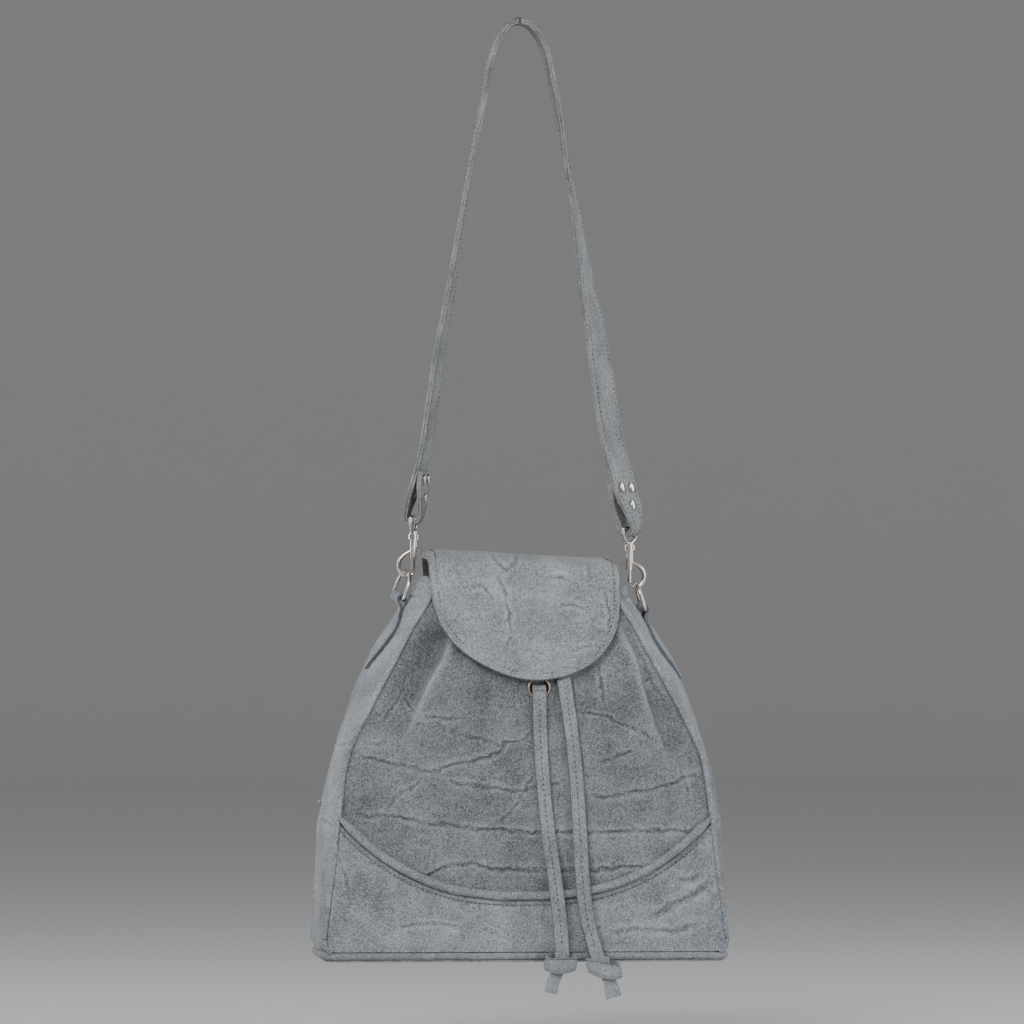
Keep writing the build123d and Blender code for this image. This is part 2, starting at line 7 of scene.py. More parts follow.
from math import atan, cos, degrees, pi, radians, sin

import bmesh
import bpy
import numpy as np
from mathutils import Matrix, Vector


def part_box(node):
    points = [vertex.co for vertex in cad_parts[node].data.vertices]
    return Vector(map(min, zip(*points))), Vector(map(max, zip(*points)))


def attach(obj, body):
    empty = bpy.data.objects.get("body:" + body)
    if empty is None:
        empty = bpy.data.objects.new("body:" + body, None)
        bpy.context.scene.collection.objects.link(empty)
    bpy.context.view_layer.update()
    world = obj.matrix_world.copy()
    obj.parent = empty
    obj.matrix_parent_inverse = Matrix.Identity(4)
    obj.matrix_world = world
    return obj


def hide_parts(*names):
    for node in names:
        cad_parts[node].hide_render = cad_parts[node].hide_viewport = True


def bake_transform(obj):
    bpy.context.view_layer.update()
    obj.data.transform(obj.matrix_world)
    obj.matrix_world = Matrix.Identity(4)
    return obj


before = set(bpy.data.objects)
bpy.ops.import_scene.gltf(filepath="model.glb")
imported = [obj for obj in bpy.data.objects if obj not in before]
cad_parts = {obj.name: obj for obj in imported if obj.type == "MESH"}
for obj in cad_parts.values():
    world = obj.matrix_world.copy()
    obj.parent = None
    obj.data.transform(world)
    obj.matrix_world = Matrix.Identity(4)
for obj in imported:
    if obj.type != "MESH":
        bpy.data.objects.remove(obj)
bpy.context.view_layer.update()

# ---- the bag's driving sizes
HANG_HEIGHT = -1000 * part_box("base_panel")[0].z
BASE_HALF_DEPTH = 55.0
MOUTH_HEIGHT = 262.0
DEPTH_LOSS = 22.0
SKIN = 1.8
LINING_NEAR = 2.6
LINING_THICK = 0.8
WALL_BOTTOM = 7.2
STATIONS = np.array((
    (8.0, 137.5, 142.0),
    (40.0, 133.5, 141.0),
    (74.0, 129.0, 139.0),
    (110.0, 125.5, 134.5),
    (140.0, 120.5, 127.5),
    (173.0, 105.0, 117.0),
    (203.0, 89.0, 104.0),
    (233.0, 72.5, 84.5),
    (246.0, 64.0, 76.5),
    (262.0, 57.0, 70.0),
))
EAR = ((253.0, 61.5, 74.6, 6.5), (258.0, 61.8, 72.6, 12.0))
EAR_TOP = {"left": 261.4, "right": 254.5}
SEAM_TOP = 246.0
BASE_HALF = (136.0, 54.0)
BASE_CORNER = 9.0
BASE_THICK = 3.2
BASE_ROLL_R = 2.7
BAND_LOW = 42.0
BAND_RISE = 55.0
BAND_REACH = 130.0
BAND_POWER = 2.6
BAND_THICK = 1.6
BAND_ROLL_R = 3.0
POCKET_TOP = 103.0
POCKET_GAPE = 6.5
HEM_R = 3.0
HEM_HALF = 134.0
FRONT_EYELETS = ((-51, 233), (-30, 216), (-9, 204), (10, 186), (28, 206), (52, 230))
BACK_EYELETS = ((-48, 233), (-16, 226), (16, 226), (48, 233))
EYELET_R = 8.3
STRING_WIDTH = 10.0
STRING_THICK = 2.6
STRAP_WIDTH = 30.0
STRAP_LAYER = 1.5
STRAP_SPLIT = 0.1
CAMERA_TURN = 5.0  # degrees to the bag's left


# ---------------------------------------------------------------- numbers and curves
def metres(points):
    """Points in millimetres above the bag's base, as places in the frame."""
    return (np.asarray(points, float) - (0, 0, HANG_HEIGHT)) * 0.001


def step(low, high, value):
    """Nought below low, one above high, and smooth between."""
    t = np.clip((np.asarray(value, float) - low) / (high - low), 0, 1)
    return t * t * (3 - 2 * t)


def hump(distance, width):
    return np.exp(-((distance / width) ** 2))


def eased(at, values):
    """A smooth function through a few values, for rising places along a line."""
    at = np.asarray(at, float)
    values = np.asarray(values, float)
    slope = np.gradient(values, at, axis=0)

    def value(where):
        where = np.clip(where, at[0], at[-1])
        k = np.clip(np.searchsorted(at, where, side="right") - 1, 0, len(at) - 2)
        span = at[k + 1] - at[k]
        t = (where - at[k]) / span
        if values.ndim > 1:
            span, t = span[..., None], t[..., None]
        start = (1 + 2 * t) * (1 - t) ** 2 * values[k] + t * (1 - t) ** 2 * span * slope[k]
        end = t * t * (3 - 2 * t) * values[k + 1] + t * t * (t - 1) * span * slope[k + 1]
        return start + end

    return value


def lengths(points):
    """Distance along a run of points."""
    gaps = np.linalg.norm(np.diff(np.asarray(points, float)[:, :3], axis=0), axis=1)
    return np.concatenate([[0.0], np.cumsum(gaps)])


def smooth_run(rows, count):
    """Even steps along a smooth curve through rows of x, y, z and anything that goes along."""
    at = lengths(rows)
    return eased(at, rows)(np.linspace(0, at[-1], count))


def unit(vectors):
    vectors = np.asarray(vectors, float)
    return vectors / np.linalg.norm(vectors, axis=-1, keepdims=True)


HASH = np.random.RandomState(11).permutation(256)
SPINS = np.random.RandomState(12).rand(256) * 2 * pi


def noise(u, v, seed=0):
    """Smooth noise over a plane, about -1 to 1, with features one unit across."""
    i, j = np.floor(u).astype(int), np.floor(v).astype(int)
    fu, fv = u - i, v - j

    def corner(di, dj):
        spin = SPINS[HASH[(HASH[(i + di + 37 * seed) % 256] + j + dj) % 256]]
        return np.cos(spin) * (fu - di) + np.sin(spin) * (fv - dj)

    wu = fu ** 3 * (fu * (fu * 6 - 15) + 10)
    wv = fv ** 3 * (fv * (fv * 6 - 15) + 10)
    low = corner(0, 0) * (1 - wu) + corner(1, 0) * wu
    high = corner(0, 1) * (1 - wu) + corner(1, 1) * wu
    return 1.5 * (low * (1 - wv) + high * wv)


def waver(u, row, seed):
    """The same noise along a line, one row of it for each use."""
    return noise(u, u * 0 + row, seed)


def rough(u, v, seed, octaves=3):
    return sum(noise(u * 2 ** k, v * 2 ** k, seed + k) / 2 ** k for k in range(octaves))


def crumple(u, v, seed, width):
    """Relief of a net of fine winding creases in soft leather, and its painted shading: painted shade in
    the crease valleys and painted highlight on their lips.
    """
    bent_u = u + 0.5 * noise(u * 1.7, v * 1.7, seed + 1)
    bent_v = v + 0.5 * noise(u * 1.7, v * 1.7, seed + 2)
    field = noise(bent_u, bent_v, seed)
    patches = step(-0.1, 0.5, noise(u * 0.6, v * 0.6, seed + 3))
    valley = hump(field, width) * patches
    lip = hump(np.abs(field) - 2.4 * width, 1.3 * width) * patches
    return 0.4 * lip - valley, 0.7 * lip - valley


def folded(x, z, routes, seed):
    """Relief of creases along given routes: valley with a raised lip each side, and painted shading for
    them: painted shade in the valley, painted highlight on the lips.
    A route is (depth, width, points)."""
    wobble_x = 1.5 * rough(x / 7, z / 7, seed) + 0.7 * noise(x / 2.4, z / 2.4, seed + 5)
    wobble_z = 1.5 * rough(x / 7, z / 7, seed + 7) + 0.7 * noise(x / 2.4, z / 2.4, seed + 6)
    relief = np.zeros_like(x)
    tone = np.zeros_like(x)
    for depth, width, points in routes:
        points = np.asarray(points, float)
        near = np.full_like(x, 1e9)
        for start, end in zip(points, points[1:]):
            run = end - start
            px, pz = x + wobble_x - start[0], z + wobble_z - start[1]
            t = np.clip((px * run[0] + pz * run[1]) / (run @ run), 0, 1)
            near = np.minimum(near, np.hypot(px - t * run[0], pz - t * run[1]))
        ends = [np.hypot(x - p[0], z - p[1]) for p in (points[0], points[-1])]
        fade = step(0, 9, np.minimum(*ends)) * (0.75 + 0.35 * noise(x / 11, z / 11, seed + 9))
        width = 0.85 * width
        valley = hump(near, width) * fade
        lip = hump(near - 2.3 * width, 1.4 * width) * fade
        relief += 1.2 * depth * (0.45 * lip - valley)
        # painted shading: painted shade down the crease valley, painted highlight on its lips
        tone += 0.8 * lip - valley
    return relief, np.clip(tone, -1.2, 1.0)


# ---------------------------------------------------------------- the bag's form
seam_at = eased(STATIONS[:, 0], STATIONS[:, 1])


def foot_curve(z):
    """How far the seams curve in at the rounded bottom corners."""
    rise = np.clip((np.asarray(z, float) - WALL_BOTTOM) / 10, 0, 1)
    return 7.5 * (1 - np.sqrt(1 - (1 - rise) ** 2 * 0.98))


def half_depth(z):
    return BASE_HALF_DEPTH - DEPTH_LOSS * (np.maximum(z, 0.0) / MOUTH_HEIGHT) ** 1.5


def face_normal(z, side):
    """Unit vector out of the front (side -1) or back (side 1) at a height."""
    slope = (half_depth(z - 5) - half_depth(z + 5)) / 10
    size = np.hypot(1, slope)
    return np.stack([np.zeros_like(slope), side / size, slope / size], -1)


def pleat(x, z, route, depth, away):
    """A fold pulled in by the drawstring: a crest line with a drop on its outer side, with painted
    highlight along the crest and painted shade down the drop.
    """
    route = np.asarray(sorted(route, key=lambda p: p[1]), float)
    crest = eased(route[:, 1], route[:, 0])(z)
    d = away * (x - crest + 1.2 * waver(z / 23, 4.5, 3))
    strength = step(route[0, 1] - 8, route[0, 1] + 55, z)
    room = np.maximum(seam_at(z) - np.abs(crest), 8)
    drop = np.where(d > 0, (1 - np.exp(-np.maximum(d, 0) / 2.6)) * hump(d, 0.62 * room), 0)
    relief = 1.6 * hump(d + 2.5, 6) - depth * drop
    # painted shading: painted highlight along the crest, painted shade down the drop
    tone = 0.9 * hump(d + 1, 3.5) - 0.5 * drop
    return strength * relief, strength * tone


LEFT_CREST = ((-91, 140), (-80, 158), (-65, 189), (-50, 223), (-43, 250), (-41, 262))
RIGHT_CREST = ((102, 127), (91, 153), (84, 178), (74, 210), (67, 228), (57, 250), (53, 262))
FRONT_CREASES = (
    (1.0, 1.1, ((-115, 150), (-101, 148), (-88, 149))),
    (1.3, 1.2, ((-115, 141), (-101, 137), (-85, 134), (-70, 130), (-59, 130), (-48, 135),
                (-28, 137), (-16, 144), (-12, 150))),
    (0.9, 1.0, ((-73, 167), (-56, 165), (-39, 164))),
    (0.9, 1.0, ((-43, 155), (-28, 150), (-16, 147), (-3, 150), (8, 156))),
    (1.1, 1.1, ((-55, 122), (-39, 120), (-22, 118), (-6, 116), (13, 118), (30, 124))),
    (0.9, 1.1, ((-94, 103), (-88, 113), (-77, 118), (-68, 125))),
    (1.2, 1.2, ((-118, 101), (-106, 98), (-96, 101), (-80, 97), (-66, 94), (-50, 93),
                (-36, 90), (-20, 90), (4, 88), (29, 88), (60, 88), (82, 89), (110, 88), (124, 90))),
    (0.9, 1.0, ((-22, 94), (-10, 101), (-3, 112), (8, 131))),
    (1.3, 1.2, ((-76, 60), (-66, 59), (-56, 65), (-36, 67), (-20, 63), (11, 62), (47, 62),
                (64, 64), (82, 65), (100, 63), (110, 69))),
    (0.6, 1.0, ((-46, 76), (-36, 84), (-31, 91))),
    (1.0, 1.1, ((36, 170), (46, 168), (57, 166), (67, 161), (82, 154), (91, 149))),
    (0.8, 1.0, ((46, 135), (60, 137), (65, 141), (77, 142))),
    (1.3, 1.2, ((42, 112), (54, 112), (66, 113), (82, 116), (99, 120), (109, 125), (122, 126))),
    (0.9, 1.0, ((104, 137), (107, 128), (110, 120), (111, 108))),
    (1.2, 1.4, ((70, 222), (75, 213), (81, 205), (86, 189), (95, 178), (100, 165), (112, 157))),
    (0.8, 1.2, ((50, 207), (52, 190), (54, 171))),
    (0.7, 1.0, ((-100, 160), (-92, 168), (-84, 181), (-78, 196))),
    (0.6, 1.0, ((-84, 181), (-77, 172), (-73, 166))),
)


def eyelet_calm(x, z, spots):
    """One beside the eyelets and nought on them, so that the leather lies flat under each."""
    near = np.min([np.hypot(x - a, z - b) for a, b in spots], axis=0)
    return step(EYELET_R + 0.5, EYELET_R + 9, near)


def front_relief(x, z):
    """How far the front stands out of its plain form, and its painted shading: painted shade in pleat drops
    and crease valleys, painted highlight on pleat crests and crease lips.
    """
    edge = step(1.5, 16, seam_at(z) - np.abs(x)) * step(WALL_BOTTOM, WALL_BOTTOM + 12, z)
    calm = eyelet_calm(x, z, FRONT_EYELETS)
    pulls = np.cos(2 * pi * (x - 10) / 20.5 + 0.4 * noise(x / 30, z / 30, 5))
    gathers = 1.5 * pulls * step(160, 236, z) * hump(x, 62)
    dimple = -2.6 * hump(np.hypot((x + 24) / 1.5, z - 186), 13)
    soft = 1.1 * rough(x / 46, z / 34, 21) + 0.35 * rough(x / 13, z / 9, 24)
    left, left_shading = pleat(x, z, LEFT_CREST, 10.5, -1)
    right, right_shading = pleat(x, z, RIGHT_CREST, 8.5, 1)
    lines, lines_shading = folded(x, z, FRONT_CREASES, 31)
    net, net_shading = crumple(x / 31, z / 14, 41, 0.05)
    relief = edge * calm * (gathers + dimple + soft + left + right + lines + 0.35 * net)
    # painted shading: painted shade in pleat drops and crease valleys, painted highlight on pleat crests
    # and crease lips
    tone = edge * (left_shading + right_shading + 0.8 * lines_shading + 0.35 * net_shading)
    return np.minimum(relief, 3.2), tone


def back_relief(x, z):
    edge = step(1.5, 16, seam_at(z) - np.abs(x)) * step(WALL_BOTTOM, WALL_BOTTOM + 12, z)
    calm = eyelet_calm(x, z, BACK_EYELETS) * (1 - step(240, 247, z) * step(68, 60, np.abs(x)))
    gathers = 2.2 * np.cos(2 * pi * x / 32 + 0.6 * noise(x / 30, z / 30, 6)) * step(150, 232, z)
    soft = 1.2 * rough(x / 50, z / 34, 61) + 0.35 * rough(x / 13, z / 9, 64)
    net, net_shading = crumple(x / 30, z / 15, 71, 0.055)
    pocket = step(96, 116, z)
    # second value is painted shading: painted shade in the crease valleys, painted highlight on their lips
    return edge * calm * pocket * (gathers + soft + 0.8 * net), edge * 0.6 * net_shading


def wall_point(x, z, side, out):
    """On the front or back wall, out of its plain face by a distance."""
    return np.stack([x, side * (half_depth(z) + out), z], -1)


# ---------------------------------------------------------------- meshes
CRISP_ANGLE = 38  # degrees between two faces from which their edge stays sharp
EDGE_ROUNDING = 0.75  # a strip's edge radius as a share of half its thickness


def placed(name, data):
    """A new object in the scene."""
    thing = bpy.data.objects.new(name, data)
    bpy.context.scene.collection.objects.link(thing)
    return thing


def build(name, points, faces, marks=None, painted_shading_values=None):
    """A mesh object of millimetre points, with a material number for each face."""
    points = np.asarray(points, float).reshape(-1, 3)
    mesh = bpy.data.meshes.new(name)
    mesh.from_pydata(metres(points).tolist(), [], [list(map(int, f)) for f in faces])
    if marks is not None:
        mesh.polygons.foreach_set("material_index", np.asarray(marks, np.int32))
    # the painted shading (painted shade and painted highlight) is kept as a point attribute for the leather
    # shader
    if painted_shading_values is not None:
        layer = mesh.attributes.new("tone", "FLOAT", "POINT")
        layer.data.foreach_set("value", np.asarray(painted_shading_values, np.float32).ravel())
    work = bmesh.new()
    work.from_mesh(mesh)
    bmesh.ops.delete(work, geom=[v for v in work.verts if not v.link_faces], context="VERTS")
    bmesh.ops.recalc_face_normals(work, faces=work.faces)
    work.to_mesh(mesh)
    work.free()
    mesh.polygons.foreach_set("use_smooth", np.ones(len(mesh.polygons), bool))
    mesh.set_sharp_from_angle(angle=radians(CRISP_ANGLE))
    return placed(name, mesh)


def finish_piece(piece, body, materials, replaced=()):
    for material in materials:
        piece.data.materials.append(material)
    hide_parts(*replaced)
    if body:
        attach(piece, body)
    return piece


def trim(piece, *replaced):
    """A piece of the bag in the paler leather."""
    return finish_piece(piece, "bag", [TRIM, DARK_EDGE], replaced)


def sewing(name, rows, pitch, size, thick, body="bag"):
    """A sewn line's threads, as a piece of their own."""
    return finish_piece(stitches(name, rows, pitch, size, thick), body, [THREAD])


def joined(pieces, name):
    """Several meshes as one piece."""
    first = pieces[0]
    with bpy.context.temp_override(active_object=first, selected_editable_objects=pieces):
        bpy.ops.object.join()
    first.name = name
    return first


def grid_quads(rows, cols, ring=False):
    index = np.arange(rows * cols).reshape(rows, cols)
    if ring:
        index = np.hstack([index, index[:, :1]])
    corners = [index[:-1, :-1], index[:-1, 1:], index[1:, 1:], index[1:, :-1]]
    return np.stack(corners, -1).reshape(-1, 4)


def shell(name, outer, inner, tone=None, ring=False, cut=None):
    """A leather piece between two matching grids, closed along its cut edges.
    Faces of the cut edges get material 1."""
    rows, cols = outer.shape[:2]
    quads = grid_quads(rows, cols, ring)
    if cut is not None:
        quads = quads[~cut(outer.reshape(-1, 3)[quads].mean(1))]
    sides = np.concatenate([quads[:, [k, (k + 1) % 4]] for k in range(4)])
    _, which, count = np.unique(np.sort(sides, 1), axis=0, return_inverse=True, return_counts=True)
    open_sides = sides[count[which.ravel()] == 1]
    total = rows * cols
    rim = np.column_stack([open_sides[:, ::-1], open_sides + total])
    faces = np.concatenate([quads, quads[:, ::-1] + total, rim])
    marks = np.concatenate([np.zeros(2 * len(quads)), np.ones(len(rim))])
    points = np.concatenate([outer.reshape(-1, 3), inner.reshape(-1, 3)])
    # painted shading for the outer face's points: painted shade in creases, pleat drops and seam tucks,
    # painted highlight on crease lips and pleat crests; the inner face gets none
    painted_shading_values = np.zeros(2 * total)
    if tone is not None:
        painted_shading_values[:total] = tone.ravel()
    return build(name, points, faces, marks, painted_shading_values)


def ring_points(centres, radii, along, sides, up):
    """Circles round a run of centres, square to its direction."""
    across = unit(np.cross(along, up))
    other = np.cross(along, across)
    angle = np.linspace(0, 2 * pi, sides, endpoint=False)
    ring = np.cos(angle)[:, None, None] * across + np.sin(angle)[:, None, None] * other
    return (centres + np.asarray(radii)[..., None] * ring).transpose(1, 0, 2)


def end_caps(count, sides):
    return [list(range(sides)), list(range((count - 1) * sides, count * sides))]


def tube(name, centres, radii, sides=14):
    """A round roll of leather along a run of points, closed at both ends."""
    along = unit(np.gradient(centres, axis=0))
    points = ring_points(centres, radii, along, sides, (0.02, 0.05, 1.0))
    count = len(centres)
    faces = [list(f) for f in grid_quads(count, sides, ring=True)] + end_caps(count, sides)
    return build(name, points, faces)


def closed_tube(name, centres, radii):
    """A round roll whose end joins its start."""
    sides = 12
    along = unit(np.roll(centres, -1, 0) - np.roll(centres, 1, 0))
    points = ring_points(centres, radii, along, sides, (0, 0, 1.0))
    count = len(points)
    faces = grid_quads(count + 1, sides, ring=True) % (count * sides)
    return build(name, points, faces)


def strip_section(thick):
    """A flat strip's section: share of the way to its edge, offset beyond that, height, and
    whether the point is on the rounded edge. Also the edge's radius."""
    half = 0.5 * thick
    radius = EDGE_ROUNDING * half
    spots = []
    for sign in (1, -1):
        spots += [(sign * share, 0, sign * half, 0) for share in np.linspace(-1, 1, 7)]
        for level, sixths in ((half - radius, (1, 2, 3)), (radius - half, (3, 4, 5))):
            for turn in np.multiply(sixths, pi / 6):
                spots.append((sign, sign * radius * sin(turn), sign * (level + radius * cos(turn)), 1))
    return np.array(spots), radius


def strip(name, centres, across, widths, thick, lift=None):
    """A flat leather strip with rounded edges along a run of points, and its upper face's
    normals, which are tangent x across."""
    centres = np.asarray(centres, float)
    along = unit(np.gradient(centres, axis=0))
    across = unit(across - np.sum(across * along, 1, keepdims=True) * along)
    normal = np.cross(along, across)
    half = np.broadcast_to(np.asarray(widths, float), len(centres))[:, None] / 2
    section, radius = strip_section(thick)
    share, beyond, height, on_edge = section.T
    spread = share * (half - radius) + beyond
    height = np.broadcast_to(height, spread.shape)
    if lift is not None:
        sideways = np.clip(share * (1 - 2 * radius) + 2 * beyond, -1, 1)
        height = height + lift(sideways * half, lengths(centres)[:, None], height)
    points = (centres[:, None] + spread[..., None] * across[:, None]
              + height[..., None] * normal[:, None])
    count, sides = len(centres), len(section)
    quads = grid_quads(count, sides, ring=True)
    marks = [int(on_edge[i % sides] and on_edge[(i + 1) % sides]) for i in range(len(quads))]
    faces = [list(f) for f in quads] + end_caps(count, sides)
    return build(name, points, faces, [*marks, 1, 1]), normal


def lathe(name, places, profile, sides=40):
    """Round pieces turned from one profile of radius and height, one at each place. A place
    is a centre and the unit vector along the axis."""
    points = []
    faces = []
    for centre, axis in places:
        axis = Vector(axis)
        turn = Vector((0, 0, 1)).rotation_difference(axis).to_matrix()
        start = len(points)
        for radius, height in profile:
            for k in range(sides):
                a = 2 * pi * k / sides
                spot = turn @ Vector((radius * cos(a), radius * sin(a), height))
                points.append(Vector(centre) + spot)
        faces += [[start + i for i in f] for f in grid_quads(len(profile), sides, ring=True)]
        if profile[0] != profile[-1]:
            faces.append([start + k for k in range(sides)])
            faces.append([start + (len(profile) - 1) * sides + k for k in range(sides)])
    return build(name, points, faces)


def stitches(name, rows, pitch, size, thick):
    """Threads along rows of places: each row is points and outward normals."""
    points = []
    faces = []
    ring = 6
    shape = ((-0.5, 0.0), (-0.42, 0.75), (-0.2, 1.0), (0.2, 1.0), (0.42, 0.75), (0.5, 0.0))
    for spots, normals in rows:
        at = lengths(spots)
        place = eased(at, np.hstack([spots, np.broadcast_to(normals, np.shape(spots))]))
        for s in np.arange(pitch, at[-1] - pitch / 2, pitch):
            here = place(np.array([s - 0.2, s, s + 0.2]))
            centre, along = here[1, :3], unit(here[2, :3] - here[0, :3])
            up = unit(here[1, 3:])
            side = np.cross(along, up)
            start = len(points)
            for t, r in shape:
                for k in range(ring):
                    a = 2 * pi * k / ring
                    rise = 0.35 * thick * (r - 1) + 0.5 * thick * r * sin(a)
                    points.append(centre + t * size * along + 0.5 * thick * r * cos(a) * side + rise * up)
            faces += [[start + i for i in f] for f in grid_quads(len(shape), ring, ring=True)]
    piece = build(name, points, faces)
    return piece


# ---------------------------------------------------------------- materials
def paint(name):
    material = bpy.data.materials.new(name)
    material.use_nodes = True
    tree = material.node_tree
    return material, tree, tree.nodes["Principled BSDF"]


def add(tree, kind, inputs=None, **settings):
    node = tree.nodes.new(kind)
    for key, value in settings.items():
        setattr(node, key, value)
    for key, value in (inputs or {}).items():
        if isinstance(value, bpy.types.NodeSocket):
            tree.links.new(value, node.inputs[key])
        else:
            node.inputs[key].default_value = value
    return node


def math(tree, operation, a, b):
    return add(tree, "ShaderNodeMath", {0: a, 1: b}, operation=operation).outputs[0]


def total(tree, base, *terms):
    """base plus each term's (value less one half) times its weight."""
    level = base
    for value, weight in terms:
        part = math(tree, "MULTIPLY", math(tree, "SUBTRACT", value, 0.5), weight)
        level = math(tree, "ADD", part, level)
    return level


def ramp(tree, value, colours):
    node = add(tree, "ShaderNodeValToRGB", {"Fac": value})
    stops = node.color_ramp.elements
    while len(stops) < len(colours):
        stops.new(0.5)
    for stop, (position, colour) in zip(stops, colours):
        stop.position = position
        stop.color = (*colour, 1)
    return node.outputs["Color"]


def srgb(*levels):
    """A colour from its three 0 to 255 screen levels."""
    return tuple((v / 255 / 12.92) if v < 10.3 else ((v / 255 + 0.055) / 1.055) ** 2.4 for v in levels)


def textured(name):
    """A new material with its tree, its shader and the place on the piece's own axes."""
    material, tree, skin = paint(name)
    return material, tree, skin, add(tree, "ShaderNodeTexCoord").outputs["Object"]


def cloudy(tree, place, scale, detail=2.0, roughness=0.5):
    settings = {"Vector": place, "Scale": scale, "Detail": detail, "Roughness": roughness}
    return add(tree, "ShaderNodeTexNoise", settings).outputs["Fac"]


def bands(tree, place, scale, distortion, direction):
    settings = {"Vector": place, "Scale": scale, "Distortion": distortion}
    return add(tree, "ShaderNodeTexWave", settings, bands_direction=direction).outputs["Fac"]


def surface(tree, skin, colour, roughness, strength, depth, height):
    """Colour, roughness and fine relief of a material."""
    tree.links.new(colour, skin.inputs["Base Color"])
    tree.links.new(roughness, skin.inputs["Roughness"])
    bump = add(tree, "ShaderNodeBump", {"Strength": strength, "Distance": depth, "Height": height})
    tree.links.new(bump.outputs["Normal"], skin.inputs["Normal"])


def leather(name, dark, middle, light, cell=1.15, grain=0.55, shift=0.0):
    """Soft pebbled nubuck: cells about a millimetre across, mottled and paler on top of each cell, plus
    painted shade and painted highlight from the painted shading point attribute.
    """
    material, tree, skin, place = textured(name)
    place = add(tree, "ShaderNodeVectorMath", {0: place, 1: (shift, shift, shift)}).outputs[0]
    warp = add(tree, "ShaderNodeTexNoise", {"Vector": place, "Scale": 260.0, "Detail": 2.0})
    bent = add(tree, "ShaderNodeVectorMath", {0: warp.outputs["Color"], 1: (0.0011,) * 3},
               operation="MULTIPLY").outputs[0]
    bent = add(tree, "ShaderNodeVectorMath", {0: place, 1: bent}).outputs[0]
    cells = add(tree, "ShaderNodeTexVoronoi", {"Vector": bent, "Scale": 1000 / cell},
                feature="DISTANCE_TO_EDGE").outputs["Distance"]
    pebble = add(tree, "ShaderNodeMapRange", {"Value": cells, "From Min": 0.0, "From Max": 0.3},
                 interpolation_type="SMOOTHSTEP").outputs["Result"]
    fine = cloudy(tree, place, 1500.0, 3.0)
    speck = cloudy(tree, place, 620.0)
    cloud = cloudy(tree, place, 42.0, 5.0, 0.62)
    broad = cloudy(tree, place, 11.0, 3.0)
    # the point attribute read here holds painted shading: painted shade in creases, pleat drops and seam
    # tucks, painted highlight on crease lips and pleat crests
    tone = add(tree, "ShaderNodeAttribute", attribute_name="tone").outputs["Fac"]
    level = total(tree, 0.5, (pebble, 0.42), (fine, 0.6), (speck, 0.7), (cloud, 0.75), (broad, 0.5))
    level = math(tree, "ADD", level, math(tree, "MULTIPLY", tone, 0.30))
    skin.inputs["Specular IOR Level"].default_value = 0.32
    skin.inputs["Sheen Weight"].default_value = 0.22
    skin.inputs["Sheen Roughness"].default_value = 0.45
    skin.inputs["Sheen Tint"].default_value = (*light, 1)
    surface(tree, skin, ramp(tree, level, ((0.1, dark), (0.5, middle), (0.9, light))),
            total(tree, 0.80, (cloud, 0.25), (pebble, -0.10)),
            0.95, 0.0004, total(tree, 0.5, (pebble, grain), (fine, 0.25), (speck, 0.45)))
    return material


def raw_edge(name, dark, light):
    """The cut side of leather: fibrous, paler and warmer than its face."""
    material, tree, skin, place = textured(name)
    fibre = cloudy(tree, place, 900.0, 4.0)
    level = total(tree, 0.5, (fibre, 1.2), (cloudy(tree, place, 60.0, 3.0), 0.8))
    surface(tree, skin, ramp(tree, level, ((0.2, dark), (0.8, light))), total(tree, 0.85, (fibre, 0.2)),
            0.7, 0.0003, fibre)
    return material


def thread(name, dark, light):
    """Twisted sewing thread."""
    material, tree, skin, place = textured(name)
    twist = bands(tree, place, 420.0, 2.0, "DIAGONAL")
    fuzz = cloudy(tree, place, 1800.0)
    level = total(tree, 0.5, (twist, 0.6), (fuzz, 0.9))
    surface(tree, skin, ramp(tree, level, ((0.2, dark), (0.8, light))), total(tree, 0.6, (fuzz, 0.3)),
            0.5, 0.0002, twist)
    return material


def metal(name, dark, light, gloss):
    """Plated metal with faint polishing marks and handling smudges."""
    material, tree, skin, place = textured(name)
    smudge = cloudy(tree, place, 130.0, 4.0)
    marks = cloudy(tree, place, 2200.0)
    level = total(tree, 0.5, (smudge, 1.1), (marks, 0.3))
    skin.inputs["Metallic"].default_value = 1.0
    surface(tree, skin, ramp(tree, level, ((0.15, dark), (0.85, light))),
            total(tree, gloss, (smudge, 0.2), (marks, 0.08)), 0.12, 0.0001, marks)
    return material


def cloth(name, dark, light, threads):
    """Plain woven lining: warp and weft a few to the millimetre."""
    material, tree, skin, place = textured(name)
    warp, weft = (bands(tree, place, threads, 0.4, direction) for direction in ("X", "Z"))
    weave = math(tree, "ADD", warp, weft)
    dust = cloudy(tree, place, 90.0, 4.0)
    level = total(tree, 0.3, (weave, 0.25), (dust, 0.8))
    surface(tree, skin, ramp(tree, level, ((0.1, dark), (0.9, light))), total(tree, 0.85, (dust, 0.2)),
            0.4, 0.0003, weave)
    return material


